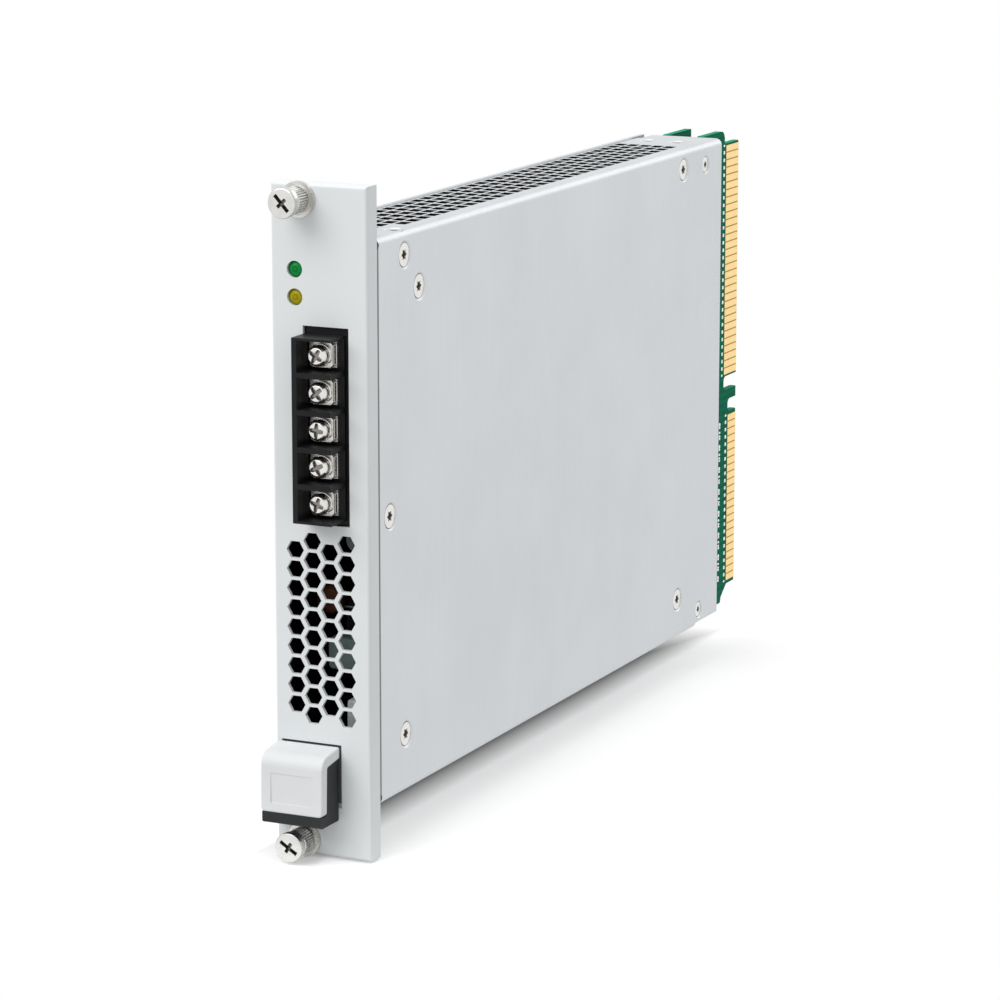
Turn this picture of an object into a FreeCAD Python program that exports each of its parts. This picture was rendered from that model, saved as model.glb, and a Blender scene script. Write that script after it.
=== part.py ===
"""Plug-in power supply module for a 3U card cage, 4HP wide, with a card-edge connector.

Frame in millimetres: the origin lies on the rear face of the front panel, midway between the
two captive screws. +X points right as seen from the front, +Y to the rear, +Z up.
"""
import FreeCAD
import Part
import math
import os

Vector = FreeCAD.Vector
X_AXIS = Vector(1, 0, 0)
Y_AXIS = Vector(0, 1, 0)
Z_AXIS = Vector(0, 0, 1)

# Front panel
PANEL_H = 128.4
PANEL_W = 20.0
PANEL_T = 4.0
PANEL_EDGE_R = 0.6
SCREW_SPACING = 122.5
SCREW_FROM_LEFT = 6.0
PANEL_LEFT = -SCREW_FROM_LEFT
PANEL_RIGHT = PANEL_LEFT + PANEL_W
PANEL_FRONT = -PANEL_T

# Box behind the panel
BOX_H = 108.5
BOX_D = 170.0
SHEET = 1.0
BEND_R = 1.4
BOX_LEFT = PANEL_LEFT + 0.3
BOX_RIGHT = PANEL_RIGHT - 0.1
BOX_TOP = BOX_H / 2
BOX_FRONT = 0.3
LIP_H = 7.0
RELIEF_R = 0.7
REAR_NOTCH_Y = 157.6
REAR_NOTCH_RISE = 0.1
LIP_NOTCH_Y = REAR_NOTCH_Y + 6.0
INNER_LEFT = BOX_LEFT + SHEET
INNER_RIGHT = BOX_RIGHT - SHEET
INNER_TOP = BOX_TOP - SHEET

# Countersunk screws
M3_R = 1.5
CSK_HEAD_R = 2.7
SMALL_R = 1.0
SMALL_HEAD_R = 2.0
HOLE_GAP = 0.05
CSK_SINK = 0.2
WALL_SCREW_L = 3.2
SMALL_SCREW_L = 2.6
COVER_SCREW_L = 2.1

# Right wall screws: distance behind the panel and height above the middle
LUG_SCREWS = [(11.9, 49.6), (5.3, 0.9), (11.6, -42.9)]
STANDOFF_SCREWS = [(18.1, 42.8), (148.4, 49.8), (147.0, -45.5)]
REAR_SMALL_SCREWS = [(161.0, 49.5), (159.4, -50.4)]
END_SCREW_X = 11.5
FRONT_SCREW_Y = 12.0
REAR_SCREW_Y = 160.0
REAR_SCREW_X = [0.5, 7.5]
COVER_SCREW_Y = [20.0, 156.0]
COVER_SCREW_Z = BOX_TOP - 4.0

# Lugs behind the panel: depth, lower and upper end
LUG_LEFT = 10.3
LUG_SPANS = [(15.0, 45.5, INNER_TOP), (9.0, -1.2, 3.0), (15.0, -INNER_TOP, -38.0)]
LUG_CHAMFER = 0.5

# Angle brackets in the rear corners
BRACKET_T = 1.1
BRACKET_LEG_Z = 44.0
BRACKET_LEFT = INNER_LEFT + SHEET + 0.5
TOP_BRACKET_Y = 154.0
BOTTOM_BRACKET_Y = 151.2
BRACKET_END_Y = BOX_D - 1.0

# Vent slots: five rows in the top, two in the bottom
SLOT_PITCH_Y = 4.2
SLOT_L = 3.2
SLOT_W = 2.3
SLOT_ROWS_X = [-1.95, 0.9, 3.75, 6.6, 9.45]
BOTTOM_ROWS_X = [0.9, 6.6]
VENT_Y0 = 6.0
VENT_Y1 = 153.0
BOTTOM_VENT_Y1 = 146.0
BESIDE_SCREW_Y = 15.0

# Honeycomb in the panel
HEX_FLATS = 3.2
HEX_COLUMN_PITCH = 3.58
HEX_ROW_PITCH = 3.74
HEX_FIRST_X = 4.45
HEX_MIDDLE_Z = 44.2
HEX_COLUMN_COUNTS = [9, 10, 9, 10]
VENT_SKIN = 0.8
VENT_POCKET_X = (1.4, 17.8)
VENT_POCKET_Z = (24.0, 62.8)

# Terminal block
POLES = 5
POLE_PITCH = 7.0
BLOCK_MIDDLE_Z = 18.8
BLOCK_LEFT = 7.0
BLOCK_RIGHT = 15.0
BARRIER_T = 1.0
BARRIER_FRONT = PANEL_FRONT - 5.6
POCKET_FLOOR = PANEL_FRONT + 0.2
TERMINAL_X = 11.2
WINDOW_X = (6.5, 16.0)
WINDOW_Z = (64.4, 101.9)
CONTACT_T = 0.8
CLAMP_T = 1.0
CLAMP_SIDE = 4.7
RUN_GAP = 0.05
HOUSING_STEP = PANEL_FRONT + 0.8
HOUSING_BACK = 5.5
TAIL_W = 1.8
TAIL_END = 12.0
CONTACT_H = 4.8
CONTACT_PAST_TAIL = 0.1
TERMINAL_HEAD_R = 2.0
TERMINAL_HEAD_T = 1.9
WASHER_T = 0.5
TERMINAL_SCREW_END = -1.2

# Lamps
LAMP_X = 4.9
GREEN_Z = 112.3
YELLOW_Z = 107.1
LAMP_R = 1.5
LAMP_GAP = 0.1
LENS_TIP = PANEL_FRONT + 0.1
LENS_RISE = 0.55
LAMP_FLANGE_R = 1.85
LAMP_BACK = 1.2
LAMP_HOLDER_END = 7.0

# Captive screws
THREAD_R = 1.25
THREAD_L = 6.5
SHANK_R = 1.05
GROOVE_R = 0.85
BUSH_R = 2.2
BUSH_FLANGE_R = 3.4
BUSH_RIM = 0.5
BUSH_DISH = 0.25
BUSH_FLANGE_T = 0.8
RING_POCKET_R = 1.95
RING_POCKET_Y = -3.2
RING_T = 0.8
RING_FRONT = -1.0
THUMB_HEAD_R = 2.9
KNURL_R = 2.6
HEAD_FRONT = PANEL_FRONT - 7.0

# Extraction handle
HANDLE_X = (0.5, 13.5)
HANDLE_Z = (7.5, 21.8)
CAP_BOTTOM_Z = 9.75
CAP_T = 2.0
GRIP_FRONT = PANEL_FRONT - 7.6
GRIP_BACK = PANEL_FRONT - 0.3
GRIP_EDGE_R = 2.6
CAP_CORNER_R = 0.8
CAP_SOFT_R = 0.35
SHADOW_LEFT = 1.2
SHADOW_GAP = 0.35
SHADOW_T = 0.8
CAP_RECESS_X = (2.6, 11.4)
CAP_RECESS_Z = (11.6, 17.4)
CAP_RECESS = 0.3
STEM_GAP = 0.2
GUIDE_WALL = 0.8
GUIDE_RUN = 0.8
STEM_X = (4.2, 9.8)
STEM_Z = (12.5, 18.5)
STEM_END = 13.0
STOP_Y = 10.5
STOP_RISE = 0.6

# Circuit boards
BOARD_T = 1.6
MAIN_X = 7.8
AUX_X = -0.4
BOARD_FRONT = 6.5
AUX_FRONT = 118.0
BOARD_INNER_Z = 52.8
BOARD_NECK_Z = 51.6
BOARD_NECK_Y = 153.5
BOARD_EAR_Y = BOX_D + 0.6
BOARD_EAR_TOP = BOX_TOP + 0.1
BOARD_EAR_BOTTOM = -BOX_TOP - 0.25
BOARD_EAR_R = 2.0
BOARD_NOTCH_R = 1.2
FOOT_NECK_Y = 149.0
SHOULDER_Y = BOX_D + 13.2
TIP_Y = BOX_D + 21.8
UPPER_TONGUE = (-1.9, 51.4)
KEY_TAB = (-7.4, -5.1)
LOWER_TONGUE = (-50.7, -10.3)
UPPER_ROOT_Y = BOX_D + 14.0
LOWER_ROOT_Y = BOX_D + 16.6
FINGER_PITCH = 1.7
FINGER_W = 1.4
FINGER_T = 0.06
TIP_BEVEL = 0.4
STANDOFF_R = 2.9
SPACER_R = 2.4
BOARD_SCREW_HEAD_R = 2.6
BOARD_SCREW_HEAD_T = 1.6
BOARD_SCREW_GRIP = 1.1

# Insulating film on the right wall and on the cover: depth and half height
FILM_T = 0.4
WALL_FILM_Y = (24.0, 144.0)
WALL_FILM_HALF = 40.0
COVER_FILM_Y = (4.0, 166.0)
COVER_FILM_HALF = 46.5

# Parts on the main board: PART_LEFT is as far left as any of them comes
PART_LEFT = -3.4
HEADER_Y = (122.0, 128.0)
HEADER_HALF = 30.0
FUSE_X = 3.6
FUSE_Y = (12.0, 32.0)
FUSE_Z = -6.0
FUSE_CAP_R = 2.6
FUSE_CAP_L = 5.0
FUSE_TUBE_R = 2.4
CLIP_Y = [12.5, 28.0]
CLIP_L = 3.5
CLIP_HALF = 3.1
FILM_CAP_Y = (17.0, 35.0)
FILM_CAP_Z = (26.0, 34.0)
CHOKE_Y = 26.0
CHOKE_Z = -24.0
CORE_X = (-1.6, 5.4)
CORE_R = (5.2, 9.0)
COIL_X = (-3.2, 7.0)
COIL_R = (3.8, 10.6)
COIL_ARC = 140
COIL_STARTS = [20, 200]
BULK_R = 5.2
BULK_Y = (46.0, 80.0)
BULK_Z = [16.0, 27.5, 39.0]
TRANSFORMER_Y = (46.0, 82.0)
TRANSFORMER_Z = (-32.0, -2.0)
CORE_WINDOW_X = (-0.6, 4.8)
CORE_WINDOW_H = 7.0
CORE_WALL = 4.0
CORE_END = 6.0
COIL_GAP = 0.2
SINK_Y = (92.0, 114.0)
SINK_HALF = 40.0
SINK_BASE_X = 5.2
FIN_COUNT = 6
FIN_PITCH = 3.4
FIN_T = 1.2
FIN_FIRST_Y = 95.6
SWITCH_Z = [-24.0, 0.0, 24.0]
SWITCH_HALF = 5.0
SWITCH_Y = (90.7, 95.2)
SWITCH_X = (-1.6, 7.4)
SWITCH_TAB_Y = (92.2, 93.4)
SWITCH_LEG_Y = (91.2, 91.8)

# Parts on the second board
INDUCTOR_Y = (132.0, 144.0)
INDUCTOR_HALF = 6.0
INDUCTOR_Z = [-26.0, 0.0]
CAN_Y = 152.0
CAN_R = 4.0
CAN_RIM = 0.4
CAN_Z = [-34.0, -24.0, -14.0, -4.0, 6.0]
CHIP_Y = (121.0, 130.0)
CHIP_Z = (20.0, 29.0)
CHIP_T = 1.4


def panel_x(x):
    """Place measured from the panel's left edge."""
    return PANEL_LEFT + x


def panel_z(z):
    """Height measured from the panel's lower edge."""
    return z - PANEL_H / 2


def block(x0, x1, y0, y1, z0, z1):
    """Box between two corners."""
    return Part.makeBox(x1 - x0, y1 - y0, z1 - z0, Vector(x0, y0, z0))


def rod(start, axis, radius, length):
    """Cylinder from a start point along an axis."""
    return Part.makeCylinder(radius, length, start, axis)


def turned(points, x, z):
    """Solid of revolution about a line along Y through (x, z), from (radius, y) points."""
    wire = Part.makePolygon([Vector(r, y, 0) for r, y in points + points[:1]])
    solid = Part.Face(wire).revolve(Vector(0, 0, 0), Y_AXIS, 360)
    solid.translate(Vector(x, 0, z))
    return solid


def prism_x(points, x0, x1):
    """Outline of (y, z) points drawn out along X."""
    wire = Part.makePolygon([Vector(x0, y, z) for y, z in points + points[:1]])
    return Part.Face(wire).extrude(Vector(x1 - x0, 0, 0))


def prism_y(points, y0, y1):
    """Outline of (x, z) points drawn out along Y."""
    wire = Part.makePolygon([Vector(x, y0, z) for x, z in points + points[:1]])
    return Part.Face(wire).extrude(Vector(0, y1 - y0, 0))


def round_x_edges(shape, corners, radius):
    """Round the edges along X that stand at the given (y, z) corners."""
    chosen = []
    for edge in shape.Edges:
        a, b = edge.Vertexes[0].Point, edge.Vertexes[-1].Point
        for y, z in corners:
            if math.dist((a.y, a.z), (y, z)) < 1e-4 and math.dist((b.y, b.z), (y, z)) < 1e-4:
                chosen.append(edge)
    return shape.makeFillet(radius, chosen)


def ring_of(count, radius, start=0.0):
    """Points evenly spaced on a circle."""
    angles = [start + i * 2 * math.pi / count for i in range(count)]
    return [(radius * math.cos(a), radius * math.sin(a)) for a in angles]


def fuse_all(shapes):
    """Union of a list of solids, with split faces merged."""
    return shapes[0].multiFuse(shapes[1:]).removeSplitter()


def save(name, *solids):
    """Write one node, with one solid or a group of separate solids."""
    shape = solids[0] if len(solids) == 1 else Part.makeCompound(list(solids))
    shape.exportStep("parts/" + name + ".step")


def star_socket(centre, inward, radius, depth):
    """Six-lobed driver recess, as a star prism sunk along the screw's axis."""
    outer = ring_of(6, radius)
    inner = ring_of(6, radius * 0.7, math.pi / 6)
    points = [p for pair in zip(outer, inner) for p in pair]
    wire = Part.makePolygon([Vector(u, v, 0) for u, v in points + points[:1]])
    prism = Part.Face(wire).extrude(Vector(0, 0, depth))
    prism.Placement = FreeCAD.Placement(centre, FreeCAD.Rotation(Z_AXIS, inward))
    return prism


def csk_screw(centre, inward, length, radius=M3_R, head_r=CSK_HEAD_R):
    """Flat countersunk screw whose head lies a little below centre and whose shank points inward."""
    slope = (head_r - radius) / SHEET
    face = centre + inward * CSK_SINK
    head = Part.makeCone(head_r - slope * CSK_SINK, radius, SHEET - CSK_SINK, face, inward)
    shank = rod(centre + inward * SHEET, inward, radius, length - SHEET)
    socket = star_socket(face, inward, radius * 0.85, 0.5)
    return fuse_all([head, shank]).cut(socket)


def csk_hole(centre, inward, radius=M3_R, head_r=CSK_HEAD_R):
    """Countersunk clearance hole for the same screw: a cone that runs on past both faces of the sheet."""
    slope = (head_r - radius) / SHEET
    over = 0.4
    wide = head_r + HOLE_GAP + slope * over
    narrow = radius + HOLE_GAP - slope * over
    return Part.makeCone(wide, narrow, SHEET + 2 * over, centre - inward * over, inward)


def right_wall_points(places):
    """Points on the outer face of the right wall."""
    return [Vector(BOX_RIGHT, y, z) for y, z in places]


def end_points(z):
    """Screw places on the top (z above) or the bottom (z below): one at the front, two at the rear."""
    rear_y = REAR_SCREW_Y if z > 0 else BOARD_NECK_Y
    places = [Vector(END_SCREW_X, FRONT_SCREW_Y, z)]
    return places + [Vector(x, rear_y, z) for x in REAR_SCREW_X]


def cover_points():
    """Screw places on the outer face of the left cover."""
    return [Vector(BOX_LEFT, y, side * COVER_SCREW_Z) for y in COVER_SCREW_Y for side in (-1, 1)]


def honeycomb():
    """Hexagonal vent holes in columns, points left and right, shifted by half a pitch."""
    holes = []
    corner_r = HEX_FLATS / math.sqrt(3)
    for column, count in enumerate(HEX_COLUMN_COUNTS):
        x = panel_x(HEX_FIRST_X + column * HEX_COLUMN_PITCH)
        for row in range(count):
            z = panel_z(HEX_MIDDLE_Z) + (row - (count - 1) / 2) * HEX_ROW_PITCH
            outline = [(x + u, z + v) for u, v in ring_of(6, corner_r)]
            holes.append(prism_y(outline, PANEL_FRONT - 1, 1))
    return holes


def front_panel():
    """Plate with softly rounded front edges, windows, vent, a shallow pocket that leaves a gap round the
    handle, and three screw lugs on its back."""
    half = PANEL_H / 2
    plate = block(PANEL_LEFT, PANEL_RIGHT, PANEL_FRONT, 0, -half, half)
    front = [e for e in plate.Edges if all(abs(v.Y - PANEL_FRONT) < 1e-6 for v in e.Vertexes)]
    plate = plate.makeFillet(PANEL_EDGE_R, front)
    thin = block(panel_x(VENT_POCKET_X[0]), panel_x(VENT_POCKET_X[1]), PANEL_FRONT + VENT_SKIN, 1,
                 panel_z(VENT_POCKET_Z[0]), panel_z(VENT_POCKET_Z[1]))
    window = block(panel_x(WINDOW_X[0]), panel_x(WINDOW_X[1]), PANEL_FRONT - 1, 1,
                   panel_z(WINDOW_Z[0]), panel_z(WINDOW_Z[1]))
    stem_window = block(panel_x(STEM_X[0] - STEM_GAP), panel_x(STEM_X[1] + STEM_GAP), PANEL_FRONT - 1, 1,
                        panel_z(STEM_Z[0] - STEM_GAP), panel_z(STEM_Z[1] + STEM_GAP))
    shadow = block(panel_x(SHADOW_LEFT), panel_x(HANDLE_X[1] + SHADOW_GAP), PANEL_FRONT - 1,
                   PANEL_FRONT + SHADOW_T, panel_z(CAP_BOTTOM_Z), panel_z(HANDLE_Z[1] + SHADOW_GAP))
    cuts = [thin, window, stem_window, shadow] + honeycomb()
    for z in (GREEN_Z, YELLOW_Z):
        start = Vector(panel_x(LAMP_X), PANEL_FRONT - 1, panel_z(z))
        cuts.append(rod(start, Y_AXIS, LAMP_R + LAMP_GAP, PANEL_T + 2))
    for side in (-1, 1):
        start = Vector(0, PANEL_FRONT - 1, side * SCREW_SPACING / 2)
        cuts.append(rod(start, Y_AXIS, BUSH_R, PANEL_T + 2))
    return fuse_all([plate.cut(cuts)] + panel_lugs())


def panel_lugs():
    """Threaded lugs that carry the right wall, the top and the bottom of the box."""
    lugs = [block(LUG_LEFT, INNER_RIGHT, 0, depth, z0, z1) for depth, z0, z1 in LUG_SPANS]
    for i, side in ((0, 1), (2, -1)):
        corner = [e for e in lugs[i].Edges if is_along_y(e) and at_corner(e, INNER_RIGHT, side * INNER_TOP)]
        lugs[i] = lugs[i].makeChamfer(LUG_CHAMFER, corner)
    holes = [rod(p, -X_AXIS, M3_R + HOLE_GAP, 10) for p in right_wall_points(LUG_SCREWS)]
    for side in (-1, 1):
        start = Vector(END_SCREW_X, FRONT_SCREW_Y, side * BOX_TOP)
        holes.append(rod(start, Z_AXIS * -side, SMALL_R + HOLE_GAP, 6))
    return [lug.cut(holes) for lug in lugs]


def slot_grid(rows_x, end_y, z):
    """Rectangular slots in rows along the depth; the row beside the front screw begins behind it."""
    slots = []
    count = int((end_y - VENT_Y0) / SLOT_PITCH_Y)
    for x in rows_x:
        for i in range(count):
            y = VENT_Y0 + i * SLOT_PITCH_Y
            if x + SLOT_W / 2 < END_SCREW_X - SMALL_HEAD_R or y > BESIDE_SCREW_Y:
                slots.append(block(x - SLOT_W / 2, x + SLOT_W / 2, y, y + SLOT_L, z - SHEET, z + SHEET))
    return slots


def chassis():
    """One folded sheet: right wall, slotted top and bottom, and lips that carry the left cover."""
    outer = block(INNER_LEFT, BOX_RIGHT, BOX_FRONT, BOX_D, -BOX_TOP, BOX_TOP)
    inner = block(INNER_LEFT + SHEET, INNER_RIGHT, BOX_FRONT - 1, BOX_D + 1, -INNER_TOP, INNER_TOP)
    outer = outer.makeFillet(BEND_R, [e for e in outer.Edges if is_along_y(e)])
    inner = inner.makeFillet(BEND_R - SHEET, [e for e in inner.Edges if is_along_y(e)])
    lip_z = BOX_TOP - LIP_H
    side_opening = block(INNER_LEFT - 1, INNER_LEFT + SHEET + 1, -1, BOX_D + 1, -lip_z, lip_z)
    rear_notch = block(INNER_LEFT - 1, BOX_RIGHT + 1, REAR_NOTCH_Y, BOX_D + 1,
                       -BOX_TOP - 1, -INNER_TOP + REAR_NOTCH_RISE)
    lip_notch = block(INNER_LEFT - 1, INNER_LEFT + SHEET + 1, LIP_NOTCH_Y, BOX_D + 1, -BOX_TOP, BOX_TOP)
    bend_ends = [Vector(BOX_RIGHT + 1, BOX_FRONT, side * (BOX_TOP - BEND_R)) for side in (-1, 1)]
    reliefs = [rod(p, -X_AXIS, RELIEF_R, 3) for p in bend_ends]
    holes = [csk_hole(p, -X_AXIS) for p in right_wall_points(LUG_SCREWS + STANDOFF_SCREWS)]
    holes += [csk_hole(p, -X_AXIS, SMALL_R, SMALL_HEAD_R) for p in right_wall_points(REAR_SMALL_SCREWS)]
    for side in (-1, 1):
        holes += [csk_hole(p, Z_AXIS * -side, SMALL_R, SMALL_HEAD_R) for p in end_points(side * BOX_TOP)]
    holes += [rod(p, X_AXIS, M3_R + HOLE_GAP, 3) for p in cover_points()]
    slots = slot_grid(SLOT_ROWS_X, VENT_Y1, BOX_TOP) + slot_grid(BOTTOM_ROWS_X, BOTTOM_VENT_Y1, -BOX_TOP)
    return outer.cut([inner, side_opening, rear_notch, lip_notch] + reliefs + holes + slots)


def is_along_y(edge):
    """True for a straight edge that runs along the depth."""
    a, b = edge.Vertexes[0].Point, edge.Vertexes[-1].Point
    return abs(a.x - b.x) < 1e-6 and abs(a.z - b.z) < 1e-6


def side_cover():
    """Flat left cover, screwed onto the lips of the chassis."""
    sheet = block(BOX_LEFT, INNER_LEFT, BOX_FRONT, BOX_D, -BOX_TOP, BOX_TOP)
    return sheet.cut([csk_hole(p, X_AXIS) for p in cover_points()])


def rear_bracket(side):
    """Angle inside the rear corner, with one leg on the right wall and one on the top or bottom."""
    z_outer = side * INNER_TOP
    z_inner = z_outer - side * BRACKET_T
    leg_x = INNER_RIGHT - BRACKET_T
    outline = [(BRACKET_LEFT, z_outer), (INNER_RIGHT, z_outer), (INNER_RIGHT, side * BRACKET_LEG_Z),
               (leg_x, side * BRACKET_LEG_Z), (leg_x, z_inner), (BRACKET_LEFT, z_inner)]
    angle = prism_y(outline, BOTTOM_BRACKET_Y if side < 0 else TOP_BRACKET_Y, BRACKET_END_Y)
    corner = [e for e in angle.Edges if is_along_y(e) and at_corner(e, INNER_RIGHT, z_outer)]
    angle = angle.makeFillet(BEND_R, corner)
    holes = [rod(p, Z_AXIS * -side, SMALL_R + HOLE_GAP, 4) for p in end_points(side * BOX_TOP)]
    holes += [rod(p, -X_AXIS, SMALL_R + HOLE_GAP, 4) for p in right_wall_points(REAR_SMALL_SCREWS)]
    return angle.cut(holes)


def at_corner(edge, x, z):
    """True for an edge that passes through the given place in the cross-section."""
    p = edge.Vertexes[0].Point
    return math.dist((p.x, p.z), (x, z)) < 1e-6


def pole_heights():
    """Heights of the terminal screws, from the lowest to the highest."""
    return [BLOCK_MIDDLE_Z + (i - (POLES - 1) / 2) * POLE_PITCH for i in range(POLES)]


def terminal_housing():
    """Moulded block with a base in the panel window and a pocket for each pole, open to the right."""
    fit = 0.1
    base = block(panel_x(WINDOW_X[0] + fit), panel_x(WINDOW_X[1] - fit), HOUSING_STEP, HOUSING_BACK,
                 panel_z(WINDOW_Z[0] + fit), panel_z(WINDOW_Z[1] - fit))
    half = POLES * POLE_PITCH / 2
    front = block(panel_x(BLOCK_LEFT), panel_x(BLOCK_RIGHT), BARRIER_FRONT, HOUSING_STEP,
                  BLOCK_MIDDLE_Z - half, BLOCK_MIDDLE_Z + half)
    cuts = []
    pocket = (POLE_PITCH - BARRIER_T) / 2
    for z in pole_heights():
        cuts.append(block(panel_x(BLOCK_LEFT + BARRIER_T), panel_x(BLOCK_RIGHT + 1), BARRIER_FRONT - 1,
                          POCKET_FLOOR, z - pocket, z + pocket))
        cuts.append(rod(Vector(panel_x(TERMINAL_X), POCKET_FLOOR, z), Y_AXIS, M3_R + 0.2, 6))
        cuts.append(tail_slot(z, RUN_GAP))
    return fuse_all([base, front]).cut(cuts)


def tail_slot(z, gap):
    """Flat solder tail that runs from a contact plate through the block to the main board."""
    half = TAIL_W / 2 + gap
    return block(MAIN_X - CONTACT_T - gap, MAIN_X + gap, POCKET_FLOOR, TAIL_END, z - half, z + half)


def terminal_contact(z):
    """Contact plate on the floor of a pocket, with its solder tail."""
    front = POCKET_FLOOR - CONTACT_T
    left, half = panel_x(BLOCK_LEFT + BARRIER_T + 0.2), CONTACT_H / 2
    plate = block(left, MAIN_X + CONTACT_PAST_TAIL, front, POCKET_FLOOR, z - half, z + half)
    hole = rod(Vector(panel_x(TERMINAL_X), front - 1, z), Y_AXIS, M3_R + RUN_GAP, 4)
    return fuse_all([plate.cut(hole), tail_slot(z, 0)])


def clamp_back():
    """Rear face of the clamp plates, just in front of the contact plates."""
    return POCKET_FLOOR - CONTACT_T - RUN_GAP


def terminal_clamp(z):
    """Square clamp plate under a terminal screw, with its upper and lower edges bent back."""
    x = panel_x(TERMINAL_X)
    half = CLAMP_SIDE / 2
    back = clamp_back()
    plate = block(x - half, x + half, back - CLAMP_T, back, z - half, z + half)
    hollow = block(x - half - 1, x + half + 1, back - 0.35, back + 1, z - half + 0.6, z + half - 0.6)
    hole = rod(Vector(x, back - 3, z), Y_AXIS, M3_R + RUN_GAP, 6)
    corners = [e for e in plate.Edges if is_along_y(e)]
    return plate.makeChamfer(0.5, corners).cut([hollow, hole])


def cross_slot(x, y, z, reach, width, depth):
    """Cross recess sunk along +Y from a screw head's front face."""
    flat = block(x - reach, x + reach, y - 1, y + depth, z - width / 2, z + width / 2)
    tall = block(x - width / 2, x + width / 2, y - 1, y + depth, z - reach, z + reach)
    return flat.fuse(tall)


def terminal_screw(z):
    """Pan-head terminal screw with its spring washer pressed under the head."""
    x = panel_x(TERMINAL_X)
    seat = clamp_back() - CLAMP_T - RUN_GAP
    under, head_r = seat - WASHER_T, TERMINAL_HEAD_R
    crown = under - TERMINAL_HEAD_T
    washer_r, end = head_r + 0.3, TERMINAL_SCREW_END
    points = [(0, crown), (head_r - 0.6, crown), (head_r, crown + 0.6), (head_r, under), (washer_r, under),
              (washer_r, seat), (M3_R, seat), (M3_R, end), (0, end)]
    return turned(points, x, z).cut(cross_slot(x, crown, z, 1.15, 0.55, 1.0))


def lamp(z):
    """Indicator lamp with a shallow domed lens, a flange behind the panel and two leads."""
    x = panel_x(LAMP_X)
    height = panel_z(z)
    lens_back = LENS_TIP + LENS_RISE
    ball_r = (LAMP_R ** 2 + LENS_RISE ** 2) / (2 * LENS_RISE)
    ball = Part.makeSphere(ball_r, Vector(x, LENS_TIP + ball_r, height))
    dome = rod(Vector(x, LENS_TIP, height), Y_AXIS, LAMP_R, LENS_RISE + 0.2).common(ball)
    stem = rod(Vector(x, lens_back, height), Y_AXIS, LAMP_R, LAMP_BACK - lens_back)
    flange = rod(Vector(x, LAMP_BACK - 1.0, height), Y_AXIS, LAMP_FLANGE_R, 1.0)
    leads = [block(x + u, x + u + 0.5, LAMP_BACK, 3.0, height - 0.25, height + 0.25) for u in (-1.5, 1.0)]
    return fuse_all([stem, dome, flange] + leads)


def lamp_holder():
    """Right-angle holder that stands on the main board and carries both lamps."""
    x = panel_x(LAMP_X)
    low, high = panel_z(YELLOW_Z), panel_z(GREEN_Z)
    body = block(x - 2.3, MAIN_X, LAMP_BACK, LAMP_HOLDER_END, low - 2.6, high + 2.6)
    cuts = [block(x - 2.0, x + 2.0, 0, 3.0, z - 0.6, z + 0.6) for z in (high, low)]
    step = block(x + 4.0, MAIN_X + 1, 0, BOARD_FRONT, low - 3, high + 3)
    return body.cut(cuts + [step])


def screw_bush(side):
    """Flanged bush pressed into the panel, with a groove inside its rim and a pocket for the ring."""
    flange_front = PANEL_FRONT - BUSH_FLANGE_T
    bore = THREAD_R + 0.1
    dish_r, dish_y = BUSH_FLANGE_R - BUSH_RIM, flange_front + BUSH_DISH
    points = [(bore, flange_front), (KNURL_R, flange_front), (KNURL_R, dish_y), (dish_r, dish_y),
              (dish_r, flange_front), (BUSH_FLANGE_R, flange_front), (BUSH_FLANGE_R, PANEL_FRONT),
              (BUSH_R, PANEL_FRONT), (BUSH_R, 0), (RING_POCKET_R, 0), (RING_POCKET_R, RING_POCKET_Y),
              (bore, RING_POCKET_Y)]
    return turned(points, 0, side * SCREW_SPACING / 2)


def retaining_ring(side):
    """Ring snapped into the groove of a captive screw, which stops it at the bush's shoulder."""
    back = RING_FRONT + RING_T
    bore, rim = GROOVE_R + RUN_GAP, RING_POCKET_R - 0.1
    points = [(bore, RING_FRONT), (rim, RING_FRONT), (rim, back), (bore, back)]
    return turned(points, 0, side * SCREW_SPACING / 2)


def thumbscrew(side):
    """Captive screw: flat head with a cross recess, knurled grip, thin grooved shank and thread."""
    seat = PANEL_FRONT - BUSH_FLANGE_T - 0.1
    groove = (RING_FRONT - RUN_GAP, RING_FRONT + RING_T + RUN_GAP)
    points = [(0, HEAD_FRONT), (THUMB_HEAD_R - 0.3, HEAD_FRONT), (THUMB_HEAD_R, HEAD_FRONT + 0.3),
              (THUMB_HEAD_R, HEAD_FRONT + 1.5), (2.1, HEAD_FRONT + 1.7), (2.1, HEAD_FRONT + 2.2),
              (KNURL_R, HEAD_FRONT + 2.4), (KNURL_R, seat - 0.2), (KNURL_R - 0.2, seat), (SHANK_R, seat),
              (SHANK_R, groove[0]), (GROOVE_R, groove[0]), (GROOVE_R, groove[1]), (SHANK_R, groove[1]),
              (SHANK_R, 0), (THREAD_R, 0), (THREAD_R, THREAD_L - 0.5), (THREAD_R - 0.4, THREAD_L),
              (0, THREAD_L)]
    z = side * SCREW_SPACING / 2
    return turned(points, 0, z).cut(cross_slot(0, HEAD_FRONT, z, 1.7, 0.7, 1.1))


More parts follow.
